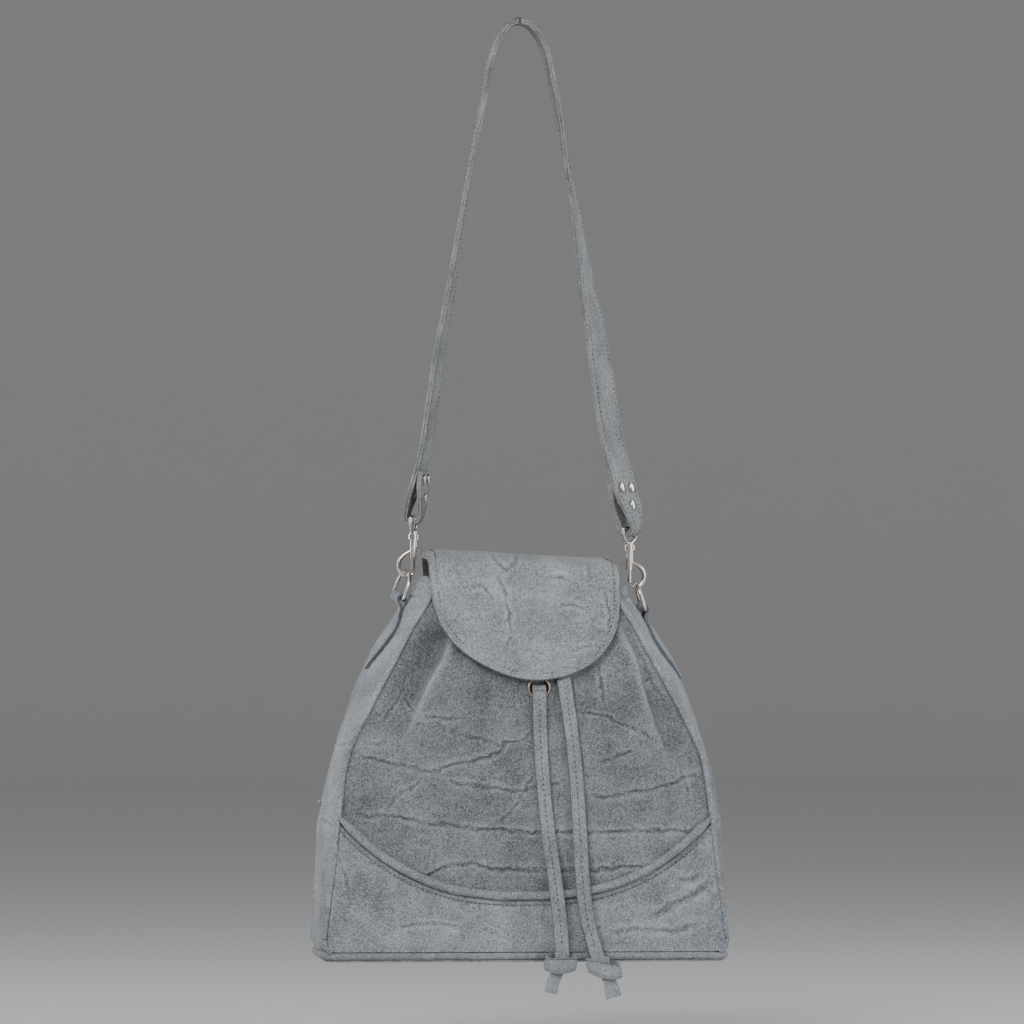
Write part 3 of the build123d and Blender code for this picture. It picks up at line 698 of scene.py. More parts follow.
PANEL = leather("panel_leather", srgb(66, 71, 75), srgb(114, 120, 125), srgb(160, 166, 171))
TRIM = leather("trim_leather", srgb(84, 90, 95), srgb(137, 143, 149), srgb(182, 188, 194), shift=0.7)
FLAP = leather("flap_leather", srgb(92, 96, 99), srgb(146, 150, 153), srgb(188, 192, 195), shift=1.3)
STRAP = leather("strap_leather", srgb(84, 89, 92), srgb(138, 143, 146), srgb(182, 187, 190), shift=2.1)
STRING = leather("string_leather", srgb(84, 89, 94), srgb(138, 143, 149), srgb(184, 189, 195), cell=0.8,
                 shift=2.9)
SUEDE = leather("flesh_side", srgb(74, 78, 82), srgb(104, 108, 112), srgb(140, 143, 146), cell=0.6,
                grain=0.2, shift=3.7)
EDGE = raw_edge("cut_edge", srgb(118, 110, 105), srgb(200, 187, 178))
STRAP_EDGE = raw_edge("strap_edge", srgb(84, 86, 88), srgb(152, 152, 151))
DARK_EDGE = raw_edge("sewn_edge", srgb(58, 64, 70), srgb(110, 116, 122))
THREAD = thread("sewing_thread", srgb(26, 30, 34), srgb(76, 82, 90))
NICKEL = metal("nickel_plate", srgb(190, 182, 174), srgb(240, 234, 226), 0.2)
BRASS = metal("eyelet_plate", srgb(140, 120, 104), srgb(196, 174, 156), 0.30)
STEEL = metal("spring_steel", srgb(120, 120, 122), srgb(176, 176, 178), 0.32)
LINING = cloth("lining_cloth", srgb(38, 40, 44), srgb(78, 82, 88), 330.0)
BOARD = raw_edge("board_fibre", srgb(96, 82, 66), srgb(150, 132, 108))


# ---------------------------------------------------------------- walls
def holes(spots, radius=7.4):
    def cut(middles):
        gaps = [np.hypot(middles[:, 0] - x, middles[:, 2] - z) for x, z in spots]
        return np.min(gaps, axis=0) < radius
    return cut


def wall_grid(cols, rows, low, high, inset):
    z = np.linspace(low, high, rows)[:, None] * np.ones(cols)
    x = np.linspace(-1, 1, cols)[None, :] * (seam_at(z) - foot_curve(z) - inset)
    return x, z


def wall(face, side, shape, relief_of, inset, tuck_depth, eyelet_spots):
    """The front or back leather, tucked in along its seams and cut at its eyelets."""
    cols, rows = shape
    x, z = wall_grid(cols, rows, WALL_BOTTOM, MOUTH_HEIGHT, inset)
    relief, tone = relief_of(x, z)
    tuck = tuck_depth * (1 - step(0, 4.5, seam_at(z) - np.abs(x)))
    outer = wall_point(x, z, side, relief - tuck)
    inner = wall_point(x, z, side, relief - tuck - SKIN)
    # painted shade where the leather tucks into the seams, on top of the relief's painted shading
    piece = shell(f"{face}_leather", outer, inner, tone - 0.8 * tuck, cut=holes(eyelet_spots))
    finish_piece(piece, "bag", [PANEL, DARK_EDGE], [f"{face}_panel"])


GUSSET_ROWS = [(z, seam_at(z) - foot_curve(z), outer, BASE_HALF_DEPTH - 1.6)
               for z, outer in ((WALL_BOTTOM, 138.6), (9.5, 139.8), (13.0, 140.8), (18.0, 141.4))]
GUSSET_ROWS += [(z, seam, outer, half_depth(z) - 1.4)
                for z, seam, outer in STATIONS if 20 < z <= SEAM_TOP]
GUSSET_ROWS += [(z, inner, outer, half_depth(z) - drawn) for z, inner, outer, drawn in EAR]
GUSSET_ROWS += [(261.4, 64.5, 69.8, 12.0)]
gusset_row = eased([r[0] for r in GUSSET_ROWS], [r[1:] for r in GUSSET_ROWS])


def gusset_x(y, z):
    """Outer face of a gusset, as distance from the bag's middle."""
    inner, outer, reach = np.moveaxis(gusset_row(z), -1, 0)
    return inner + (outer - inner) * (1 - (y / reach) ** 2)


GUSSET_CREASES = (
    (1.0, 1.2, ((-30, 247), (-12, 248), (8, 246), (28, 248))),
    (0.9, 1.1, ((-14, 248), (-8, 238), (-2, 228))),
    (0.8, 1.2, ((-40, 150), (-20, 146), (4, 150), (30, 144))),
    (0.8, 1.2, ((-46, 92), (-18, 96), (10, 90), (44, 95))),
    (0.8, 1.2, ((-30, 44), (-6, 48), (24, 42))),
)


def gusset_wall(side):
    sign = -1 if side == "left" else 1
    z = np.linspace(WALL_BOTTOM, EAR_TOP[side], 200)[:, None] * np.ones(90)
    reach = gusset_row(z)[..., 2]
    y = np.linspace(-1, 1, 90)[None, :] * reach
    edge = step(0, 14, reach - np.abs(y)) * step(WALL_BOTTOM, 22, z) * step(MOUTH_HEIGHT, SEAM_TOP, z)
    seed = 81 if sign < 0 else 91
    lines, lines_shading = folded(y, z, GUSSET_CREASES, seed)
    net, net_shading = crumple(y / 26, z / 18, seed, 0.06)
    soft = 1.0 * rough(y / 34, z / 40, seed + 4) - 1.5 * hump(y, 16) * step(120, 40, z)
    relief = edge * (soft + lines + 0.5 * net)
    beside_ring = 0.6 * step(232, SEAM_TOP, z) * step(12, 4, np.abs(y))
    relief = np.where(z > 232, np.minimum(relief, 0) - beside_ring, relief)
    x = gusset_x(y, z) + relief
    outer = np.stack([sign * x, y, z], -1)
    inner = np.stack([sign * (x - SKIN), y, z], -1)
    # painted shading of the creases: painted shade in their valleys, painted highlight on their lips
    trim(shell(f"gusset_leather_{side}", outer, inner, edge * (0.8 * lines_shading + 0.4 * net_shading)),
         f"gusset_{side}")


def seam_roll(side, face):
    """The thin piping in the seam between a wall and a gusset."""
    sign = -1 if side == "left" else 1
    facing = -1 if face == "front" else 1
    z = np.linspace(WALL_BOTTOM, SEAM_TOP + 5, 150)
    x = seam_at(z) - foot_curve(z) + 0.3 + 0.25 * waver(z / 14, 2.5 * sign, 101)
    y = half_depth(z) - 0.1 + 0.2 * waver(z / 11, 1.5 * facing, 103)
    radii = 2.0 + 0.12 * waver(z / 6, sign + facing, 105)
    radii[-4:] *= (0.95, 0.8, 0.5, 0.2)
    piece = tube(f"seam_roll_{face}_{side}", np.stack([sign * x, facing * y, z], -1), radii, 12)
    finish_piece(piece, "bag", [TRIM], [f"piping_{face}_{side}"])


# ---------------------------------------------------------------- band, base and pocket
def band_edge(x):
    return BAND_LOW + BAND_RISE * (np.abs(x) / BAND_REACH) ** BAND_POWER


BAND_CREASES = (
    (1.5, 2.2, ((80, 31), (93, 34), (107, 42), (120, 49), (130, 57))),
    (1.0, 1.8, ((96, 60), (108, 55), (121, 58))),
    (0.9, 1.6, ((60, 20), (80, 23), (99, 20), (118, 26))),
    (0.7, 1.4, ((-128, 70), (-122, 58), (-120, 44))),
    (0.6, 1.2, ((-90, 24), (-62, 27), (-40, 22))),
)


def band():
    cols, rows = 260, 80
    u = np.linspace(-1, 1, cols)[None, :] * np.ones((rows, 1))
    top = np.full_like(u, BAND_LOW)
    for _ in range(12):
        top = 0.5 * top + 0.5 * band_edge(u * (seam_at(top) - 1.4))
    v = np.linspace(0, 1, rows)[:, None]
    z = WALL_BOTTOM + v * (top - WALL_BOTTOM)
    x = u * (seam_at(z) - foot_curve(z) - 1.4)
    edge = step(0, 9, seam_at(z) - np.abs(x)) * step(0, 7, top - z) * step(0, 8, z - WALL_BOTTOM)
    lines, lines_shading = folded(x, z, BAND_CREASES, 111)
    net, net_shading = crumple(x / 30, z / 17, 117, 0.05)
    soft = 0.7 * rough(x / 38, z / 26, 115) + 0.2 * rough(x / 9, z / 8, 119)
    sewn = -0.45 * hump(top - z - 3.4, 1.1)
    relief = edge * (0.4 + soft + lines + 0.3 * net) + sewn
    outer = wall_point(x, z, -1, 0.15 + BAND_THICK + relief)
    inner = wall_point(x, z, -1, 0.15 + 0 * z)
    # painted shading of the creases, and a painted shade line down the sunken stitching groove
    tone = edge * (0.7 * lines_shading + 0.4 * net_shading) - 0.5 * hump(top - z - 3.4, 1.0)
    trim(shell("band_leather", outer, inner, tone), "front_band")
    reach = np.linspace(-BAND_REACH + 4, BAND_REACH - 4, 220)
    slope = np.gradient(band_edge(reach), reach)
    spot_z = band_edge(reach) - 3.4 * np.hypot(1, slope)
    spots = wall_point(reach, spot_z, -1, 0.15 + BAND_THICK - 0.15)
    sewing("band_stitching", [(spots, face_normal(spot_z, -1))], 3.1, 2.1, 0.75)


def band_roll():
    x = np.linspace(-BAND_REACH + 3.5, BAND_REACH - 3.5, 260)
    slope = np.gradient(band_edge(x), x)
    z = band_edge(x) + (BAND_ROLL_R + 0.3) * np.hypot(1, slope)
    z += 0.35 * waver(x / 17, 0.5, 121)
    ends = step(0, 10, BAND_REACH - 2 - np.abs(x))
    radii = (1.2 + (BAND_ROLL_R - 1.2) * ends) * (1 + 0.05 * waver(x / 9, 3.5, 123))
    y = -(half_depth(z) + 0.5 + radii)
    piece = tube("band_roll", np.stack([x, y, z], -1), radii, 20)
    finish_piece(piece, "bag", [TRIM], ["band_piping"])


def base_outline(inset, count=240):
    """Points round the base's rounded oblong."""
    corner = BASE_CORNER - inset if inset < BASE_CORNER - 1 else 1.0
    hx, hy = BASE_HALF[0] - inset - corner, BASE_HALF[1] - inset - corner
    runs = []
    for sx, sy, start in ((1, -1, -pi / 2), (1, 1, 0), (-1, 1, pi / 2), (-1, -1, pi)):
        turn = np.linspace(start, start + pi / 2, 10)
        runs.append(np.stack([sx * hx + corner * np.cos(turn), sy * hy + corner * np.sin(turn)], -1))
    loop = np.concatenate([*runs, runs[0][:1]])
    at = np.concatenate([[0], np.cumsum(np.hypot(*np.diff(loop, axis=0).T))])
    where = np.linspace(0, at[-1], count, endpoint=False)
    return np.stack([np.interp(where, at, loop[:, k]) for k in (0, 1)], -1)


def base():
    """The base's leather as a shallow tray, and the roll sewn round it."""
    outline = base_outline(0.0)
    rings = []
    for share in np.linspace(0.02, 0.985, 34):
        x, y = (outline * share).T
        z = 0.25 + 0.35 * rough(x / 40, y / 40, 131, 2) * step(1, 0.8, share)
        rings.append(np.stack([x, y, np.maximum(z, 0.0)], -1))
    rings.append(np.column_stack([outline * 0.996, np.full(len(outline), 0.5)]))
    rings.append(np.column_stack([outline, np.full(len(outline), 1.4)]))
    outer = np.array(rings)
    inner = outer * (0.99, 0.99, 1) + (0, 0, BASE_THICK - 1.2)
    trim(shell("base_leather", outer, inner, ring=True), "base_panel")
    loop = base_outline(0.0, 420)
    wander = np.arange(len(loop)) * 0.09
    height = BASE_THICK + 1.4 + 0.2 * noise(wander, wander * 0 + 0.5, 133)
    radii = BASE_ROLL_R * (1 + 0.06 * noise(wander * 2, wander * 0 + 2.5, 135))
    roll = closed_tube("base_roll", np.column_stack([loop, height]), radii)
    finish_piece(roll, "bag", [TRIM], ["base_piping"])
    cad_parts["base_board"].data.materials.clear()
    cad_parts["base_board"].data.materials.append(BOARD)


def pocket():
    x, z = wall_grid(200, 90, WALL_BOTTOM, POCKET_TOP, 2.0)
    gape = 0.3 + POCKET_GAPE * (z - WALL_BOTTOM) / (POCKET_TOP - WALL_BOTTOM)
    edge = step(0, 14, seam_at(z) - np.abs(x)) * step(WALL_BOTTOM, 20, z) * step(0, 9, POCKET_TOP + 2 - z)
    net, net_shading = crumple(x / 32, z / 17, 141, 0.055)
    soft = 1.0 * rough(x / 44, z / 30, 145)
    relief = edge * (soft + 0.8 * net)
    outer = wall_point(x, z, 1, gape + BAND_THICK + relief)
    inner = wall_point(x, z, 1, gape + 0.6 * relief)
    # painted shading of the crease net: painted shade in the valleys, painted highlight on the lips
    trim(shell("pocket_leather", outer, inner, edge * 0.7 * net_shading), "back_pocket")
    x = np.linspace(-HEM_HALF, HEM_HALF, 240)
    y = half_depth(POCKET_TOP) + 0.3 + POCKET_GAPE + HEM_R - 0.7
    z = POCKET_TOP + HEM_R + 0.1 + 0.4 * waver(x / 30, 1.5, 147)
    ends = np.sqrt(np.clip(1 - np.clip((np.abs(x) - HEM_HALF + 3) / 3.05, 0, 1) ** 2, 0.02, 1))
    radii = HEM_R * ends * (1 + 0.05 * waver(x / 10, 2.5, 149))
    roll = tube("pocket_roll", np.stack([x, y + 0 * x, z], -1), radii, 18)
    finish_piece(roll, "bag", [TRIM], ["pocket_hem"])
    reach = np.linspace(-HEM_HALF + 8, HEM_HALF - 8, 160)
    height = POCKET_TOP - 4 + 0 * reach
    spots = wall_point(reach, height, 1, POCKET_GAPE + BAND_THICK - 0.1)
    sewing("pocket_stitching", [(spots, face_normal(height, 1))], 3.1, 2.1, 0.75)


# ---------------------------------------------------------------- lining
def lining():
    """The cloth pouch inside, drawn in with the leather at the mouth."""
    rows, straight, curved = 90, 90, 26
    z = np.linspace(WALL_BOTTOM, SEAM_TOP, rows)[:, None]
    grids = []
    for inset in (LINING_NEAR, LINING_NEAR + LINING_THICK):
        seam = seam_at(z) - foot_curve(z) - inset
        u = np.linspace(-1, 1, straight)[None, :]
        x = u * seam
        front = wall_point(x, z + 0 * x, -1, front_relief(x, z + 0 * x)[0] - inset)
        back = wall_point(-x, z + 0 * x, 1, back_relief(-x, z + 0 * x)[0] - inset)
        reach = half_depth(z) - inset
        a = np.linspace(-1, 1, curved + 2)[None, 1:-1]
        y = a * reach
        bulge = (gusset_row(z)[..., 1] - gusset_row(z)[..., 0]) * (1 - a ** 2)
        side = seam + bulge
        right = np.stack([side, y, z + 0 * y], -1)
        left = np.stack([-side, -y, z + 0 * y], -1)
        grids.append(np.concatenate([front, right, back, left], 1))
    spots = [*FRONT_EYELETS, *BACK_EYELETS]

    def cut(middles):
        face = np.abs(np.abs(middles[:, 1]) - half_depth(middles[:, 2])) < 9
        return holes(spots, 6.8)(middles) & face
    piece = shell("lining_cloth", *grids, ring=True, cut=cut)
    finish_piece(piece, "bag", [LINING, LINING], ["lining"])
    outline = base_outline(4.0)
    floor = np.array([np.column_stack([outline * s, np.full(len(outline), 6.6)])
                      for s in np.linspace(0.02, 1, 30)])
    floor[..., 2] += 0.4 * rough(floor[..., 0] / 30, floor[..., 1] / 30, 151, 2)
    sheet = shell("lining_floor", floor + (0, 0, LINING_THICK), floor, ring=True)
    finish_piece(sheet, "bag", [LINING, LINING])


# ---------------------------------------------------------------- eyelets and snap
EYELET_PROFILE = ((6.0, -4.6), (6.0, 0.3), (6.35, 0.85), (7.0, 1.15), (7.7, 0.95), (8.2, 0.45), (8.3, 0.05),
                  (7.0, 0.0), (6.6, -0.3), (6.6, -4.6), (6.0, -4.6))
WASHER_PROFILE = ((6.7, -3.5), (6.7, -4.4), (7.2, -4.6), (7.6, -4.2), (7.7, -3.5), (6.7, -3.5))
SOCKET_PROFILE = ((9.0, 0.1), (9.0, 0.7), (8.4, 1.2), (6.0, 1.4), (5.6, 2.3), (2.4, 2.3), (2.0, 1.2),
                  (0.6, 1.1))
STUD_PROFILE = ((9.0, 4.7), (9.0, 4.1), (8.5, 3.7), (6.0, 3.5), (5.6, 2.8), (4.8, 2.75), (4.4, 3.2),
                (0.6, 3.2))


def face_spots(spots, side):
    """Centres and outward axes of round fittings on the front or back."""
    places = []
    for x, z in spots:
        z = np.float64(z)
        places.append((wall_point(np.float64(x), z, side, 0.0), face_normal(z, side)))
    return places


def eyelets():
    for face, side, spots in (("front", -1, FRONT_EYELETS), ("back", 1, BACK_EYELETS)):
        places = face_spots(spots, side)
        rings = lathe(f"eyelet_rings_{face}", places, EYELET_PROFILE, 44)
        finish_piece(rings, "bag", [BRASS], [f"eyelets_{face}"])
        backs = lathe(f"eyelet_backs_{face}", places, WASHER_PROFILE, 36)
        finish_piece(backs, "bag", [BRASS], [f"washers_{face}"])


def snap():
    places = face_spots([(8.0, 224.0)], -1)
    socket = lathe("snap_cup", places, SOCKET_PROFILE)
    finish_piece(socket, "bag", [NICKEL], ["snap_socket"])
    stud = lathe("snap_button", places, STUD_PROFILE)
    finish_piece(stud, "flap", [NICKEL], ["snap_stud"])


# ---------------------------------------------------------------- flap
FLAP_SIDE = ((36.0, 245.8), (35.0, 254.0), (33.9, 261.5), (31.6, 268.2), (26.0, 271.2), (0.0, 272.6),
             (-24.0, 271.2), (-34.5, 267.2))
FLAP_EDGE = ((-64.0, 262.0), (-63.3, 252.0), (-60.6, 239.0), (-54.8, 225.0), (-42.6, 210.8), (-20.0, 197.3),
             (1.0, 191.4), (19.0, 191.9), (36.0, 197.0), (48.0, 204.0), (57.5, 215.0), (63.3, 228.0),
             (65.2, 244.0), (65.0, 262.0))
FLAP_CREASES = (
    (1.3, 1.0, ((-22, 276), (-18, 268), (-12, 263), (-5, 269), (-2, 276))),
    (1.0, 1.1, ((-19, 262), (-14, 253), (-13, 245), (-10, 233), (-10, 221), (-14, 212))),
    (1.3, 0.9, ((41, 272), (44, 266), (47, 261), (51, 264))),
    (0.9, 0.9, ((47, 261), (41, 257))),
    (0.7, 1.0, ((55, 258), (54, 252), (57, 242), (58, 234), (56, 222))),
    (0.8, 1.0, ((-35, 236), (-39, 231), (-45, 230))),
    (0.6, 1.2, ((12, 259), (24, 262), (33, 258))),
    (0.5, 1.2, ((20, 240), (33, 243), (44, 237))),
    (0.5, 1.3, ((-40, 250), (-30, 254), (-24, 252))),
    (0.6, 1.1, ((28, 207), (38, 213), (50, 214))),
)
FLAP_STANDOFF = 5.0


def flap_table():
    """The flap's side view from its sewn root to its tip: y, height and length along it."""
    front = [(-(half_depth(z) + FLAP_STANDOFF), z) for z in (259, 246, 222, 204, 184)]
    rows = np.array([(0.0, y, z) for y, z in (*FLAP_SIDE, *front)])
    fine = smooth_run(rows, 900)
    return fine[:, 1], fine[:, 2], lengths(fine)


FLAP_Y, FLAP_Z, FLAP_AT = flap_table()
FLAP_TOP_AT = FLAP_AT[np.argmax(FLAP_Z)]


def flap_length(height):
    """Length along the flap, from its root, at which its front comes down to a height."""
    front = FLAP_AT > FLAP_TOP_AT
    return np.interp(-np.asarray(height, float), -FLAP_Z[front], FLAP_AT[front])


def flap_place(x, s, out):
    """A point of the flap at x, s along its side view, and a distance out of its underside."""
    y, z = np.interp(s, FLAP_AT, FLAP_Y), np.interp(s, FLAP_AT, FLAP_Z)
    ny = -(np.interp(s + 1.5, FLAP_AT, FLAP_Z) - np.interp(s - 1.5, FLAP_AT, FLAP_Z))
    nz = np.interp(s + 1.5, FLAP_AT, FLAP_Y) - np.interp(s - 1.5, FLAP_AT, FLAP_Y)
    size = np.hypot(ny, nz)
    ny, nz = ny / -size, nz / -size
    sloped = -0.055 * x * step(20, 45, s) * step(flap_length(232), flap_length(262), s)
    return np.stack([x + 0 * s, y + out * ny, z + out * nz + sloped], -1)


def flap_outline(inset, count):
    """The flap's edge as x and length along, from one top corner round to the other."""
    rows = smooth_run(np.array([(x, z, 0.0) for x, z in FLAP_EDGE]), count)
    x, s = rows[:, 0], flap_length(rows[:, 1])
    side = unit(np.stack([np.gradient(s), -np.gradient(x)], -1))
    return x - inset * side[:, 0], s - inset * side[:, 1]


def flap_height(s):
    """Height on the flap's front for creases, and running on beyond the top."""
    front = np.interp(s, FLAP_AT, FLAP_Z)
    return np.where(s > FLAP_TOP_AT + 24, front, FLAP_Z.max() + (FLAP_TOP_AT + 24 - s) * 0.9 - 2)


def flap_sheet(name, near, far, inset, marked, materials, replaced):
    """One leather of the flap between two distances off its underside, drawn in by an inset.
    marked is 1 for the leather that shows creases and stitching, and 0 for the other."""
    cols, rows = 240, 230
    edge_x, edge_s = flap_outline(inset, cols)
    v = np.linspace(0, 1, rows)[:, None]
    s = v * edge_s[None, :]
    narrow = step(34, 0, s) * 0.045
    x = edge_x[None, :] * (1 - narrow)
    inside = np.minimum(edge_s[None, :] - s, 70 - np.abs(x) - 4)
    z = flap_height(s)
    lines, lines_shading = folded(x, z, FLAP_CREASES, 161)
    net, net_shading = crumple(x / 24, s / 19, 167, 0.05)
    soft = 0.9 * rough(x / 40, s / 36, 163) + 0.25 * rough(x / 10, s / 10, 169)
    free = step(30, 60, s)
    sewn = -0.4 * hump(inside - 4.0, 1.0) * free
    lifted = 1.3 * hump(np.hypot(x - 46, z - 210), 12) + 0.8 * hump(np.hypot(x + 30, z - 206), 12)
    shared = free * (soft + lifted * step(240, 225, z))
    droop = -3.4 * np.clip((np.abs(x) - 55) / 10, 0, 1) ** 2 * step(26, 48, s)
    face = shared + marked * (free * (lines + 0.3 * net) + sewn)
    outer = flap_place(x, s, far + face + droop)
    inner = flap_place(x, s, near + shared + droop)
    # painted shading of the creases: painted shade in their valleys, painted highlight on their lips
    tone = free * (0.8 * lines_shading + 0.4 * net_shading) * marked
    return finish_piece(shell(name, outer, inner, tone), None, materials, replaced)


def flap():
    leaf = flap_sheet("flap_leather", 1.65, 3.15, 0.0, 1.0, [FLAP, EDGE], ["flap_outer", "flap_root"])
    under = flap_sheet("flap_backing", 0.0, 1.5, 0.5, 0.0, [SUEDE, EDGE], ["flap_lining"])
    x, s = flap_outline(-4.0, 420)
    s_top = np.linspace(24, s[0], 60)[:-1]
    x = np.concatenate([np.full(59, x[0]), x, np.full(59, x[-1])])
    s = np.concatenate([s_top, s, s_top[::-1]])
    spots = flap_place(x, s, 3.0 + 0 * s)
    normals = unit(flap_place(x, s, 4.0 + 0 * s) - spots)
    root_x = np.linspace(-58, 58, 80)
    rows = [(spots, normals)]
    for along in (4.0, 11.0):
        root = flap_place(root_x, along + 0 * root_x, 3.05 + 0 * root_x)
        rows.append((root, unit(flap_place(root_x, along + 0 * root_x, 4.0 + 0 * root_x) - root)))
    row = sewing("flap_stitching", rows, 3.0, 1.9, 0.65, None)
    for piece in (leaf, under, row):
        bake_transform(piece)


# ---------------------------------------------------------------- drawstring
STRING_ROUTES = {
    "left": (
        (10.0, -44.8, 183.5), (9.8, -47.4, 160), (11.5, -50.6, 125), (14.5, -55.2, 90),
        (19.5, -64.0, 52), (22.5, -64.9, 26), (24.0, -64.6, 3),
    ),
    "right": (
        (26.6, -44.2, 191.5), (30.5, -47.0, 165), (34.3, -50.6, 130), (36.3, -55.4, 92),
        (37.6, -64.2, 54), (40.0, -65.2, 28), (48.5, -65.4, 1),
    ),
}
KNOTS = {
    "left": ((22.5, -65.0, -0.5), 21.0, 12.5, 4.0, (-4.5, 24.0)),
    "right": ((52.0, -65.4, -3.5), 23.0, 13.0, 12.0, (4.5, -22.0)),
}


def nurbs_line(name, points):
    """The cord's route as a NURBS line, read back as even points in millimetres."""
    data = bpy.data.curves.new(name, "CURVE")
    data.dimensions = "3D"
    spline = data.splines.new("NURBS")
    spline.points.add(len(points) - 1)
    for spot, point in zip(spline.points, metres(points)):
        spot.co = (*point, 1)
    spline.order_u = 3
    spline.use_endpoint_u = True
    spline.resolution_u = 24
    holder = bpy.data.objects.new(name, data)
    bpy.context.scene.collection.objects.link(holder)
    mesh = bpy.data.meshes.new_from_object(holder)
    line = np.array([v.co for v in mesh.vertices]) * 1000 + (0, 0, HANG_HEIGHT)
    bpy.data.objects.remove(holder)
    bpy.data.meshes.remove(mesh)
    at = lengths(line)
    where = np.linspace(0, at[-1], 150)
    return np.stack([np.interp(where, at, line[:, k]) for k in range(3)], -1)


def string_face(across, along, height):
    """Relief of a folded string: a sewn groove down its middle and soft unevenness."""
    groove = -0.35 * hump(across, 0.9)
    bumps = 0.16 * noise(along / 8 + 0 * across, across / 3 + 0 * along, 171)
    return np.sign(height) * (groove + bumps)


def knot_face(across, along, height):
    """The same string pulled into a full round turn."""
    return string_face(across, along, height) + 1.9 * (1 - np.minimum(np.abs(across) / 5.4, 1) ** 2)


def knot(side):
    """An overhand knot in the flat string: one turn drawn tight round it, and the cut tail."""
    centre, width, height, turn, tail = KNOTS[side]
    flip = 1 if side == "left" else -1
    angle = np.linspace(0.3, 2 * pi + 0.3, 72)
    tilt = -flip * radians(turn)
    half = width / 2 - 2.2
    wrap = np.stack([half * np.cos(angle), 4.0 * np.sin(angle), 1.5 * np.sin(angle - 0.3)], -1)
    wrap = wrap @ np.array(((cos(tilt), 0, sin(tilt)), (0, 1, 0), (-sin(tilt), 0, cos(tilt)))).T
    up = (-sin(tilt), 0.0, cos(tilt))
    wide = height - 2.4 - 0.8 * np.cos(2 * angle)
    wrap_piece, _ = strip("wrap", np.array(centre) + wrap, up, wide, 2.6, lift=knot_face)
    dx, lean = tail
    foot = sin(radians(lean)) * flip
    route = np.array(((0.3 * flip, -0.4, 7.5), (0.0, -0.6, 0.0), (0.5 * dx, -0.6, -6.0),
                      (dx, -0.3, -11.0), (dx * 1.35 - 2 * abs(foot) * flip, 0.2, -20.0)))
    line = smooth_run(route, 44)
    flare = 8.4 + (2.6 if side == "right" else 0.6) * step(0.5, 1, np.linspace(0, 1, 44))
    tail_piece, _ = strip("tail", np.array(centre) + line, (1.0, 0.15, 0), flare, 2.4, lift=string_face)
    piece = joined([wrap_piece, tail_piece], f"knot_wraps_{side}")
    return finish_piece(piece, f"string_{side}", [STRING, EDGE], [f"knot_{side}"])


def drawstring(side):
    line = nurbs_line(f"route_{side}", STRING_ROUTES[side])
    at = lengths(line) / 1000
    sway = 0.10 * np.sin(at * 40)
    across = np.stack([np.cos(sway), np.sin(sway), 0 * at], -1)
    piece, normal = strip(f"string_{side}_strap", line, across, STRING_WIDTH, STRING_THICK, string_face)
    finish_piece(piece, f"string_{side}", [STRING, DARK_EDGE], [f"drawstring_{side}"])
    line_at, normal = line[2:-6], normal[2:-6]
    rows = [(line_at + s * (STRING_THICK / 2 - 0.25) * normal, s * normal) for s in (1, -1)]
    seam = sewing(f"string_{side}_stitching", rows, 3.6, 1.9, 0.7, f"string_{side}")
    tied = knot(side)


def drawstring_inside():
    """The hidden drawstring round the mouth, and its two ends out through their eyelets."""
    pieces = []
    inset = 5.9
    for face, side, spots in (("front", -1, FRONT_EYELETS), ("back", 1, BACK_EYELETS)):
        spots = [(-57, 236), *spots, (57, 234)]
        route = [(x, side * (half_depth(z) - inset), z) for x, z in spots]
        line = smooth_run(np.array(route), 120)
        pieces.append(strip(f"run_{face}", line, (0, 0, 1.0), 9.6, 1.8, string_face)[0])
    reach = half_depth(235) - inset
    for sign in (-1, 1):
        y = np.linspace(-reach, reach, 50)
        line = np.stack([sign * (58 + 1.2 * np.cos(y / 12)), y, 235 + 0 * y], -1)
        pieces.append(strip("run_side", line, (0, 0, 1.0), 9.6, 1.8, string_face)[0])
    for side, (x, z) in (("left", FRONT_EYELETS[3]), ("right", FRONT_EYELETS[4])):
        end = STRING_ROUTES[side][0]
        face = half_depth(z)
        way_out = ((-5.4, 1.5), (-2.0, 1.0), (0.6, 0.2), (2.2, -1.6))  # out of the face, up
        route = [*((x, -(face + out), z + rise) for out, rise in way_out), end]
        pieces.append(strip("end", smooth_run(route, 40), (1.0, 0, 0), 9.4, 2.0, string_face)[0])
    whole = joined(pieces, "drawstring_round_mouth")
    finish_piece(whole, "bag", [STRING, DARK_EDGE], ["drawstring_run"])


# ---------------------------------------------------------------- strap
SIDES = {
    "left": {"reach": 77.5, "height": 261.5, "twist": 16.0, "yaw": 18.0, "end": (346.0, 64.6)},
    "right": {"reach": 80.8, "height": 254.0, "twist": -33.0, "yaw": 0.0, "end": (342.0, 66.6)},
}
HOOK_OFFSET = 5.0
EYE_ABOVE = 40.5
STRAP_LEAN = 12.0
LIMB = ((637.5, 6.5), (631.5, 12.0), (623.0, 16.8), (612.0, 20.0), (597.0, 23.0), (572.0, 27.5),
        (545.0, 32.5), (518.0, 37.5), (465.0, 45.5), (420.0, 53.5), (375.0, 60.0))
LOOP_RISE = ((30.0, 1.65, 30.0), (22.0, 2.4, 30.0), (14.0, 3.7, 26.0), (6.0, 4.5, 18.0))
LOOP_R = 4.6
LOOP_END = 32.0
LOOP_WIDTH = 13.0


def turned(axis, angle):
    return Matrix.Rotation(radians(angle), 4, axis)


def joint_place(side):
    facts = SIDES[side]
    spot = (facts["reach"] - HOOK_OFFSET, 0, facts["height"] + EYE_ABOVE)
    return Matrix.Translation(spot) @ turned("Z", facts["twist"]) @ turned("Y", -STRAP_LEAN)


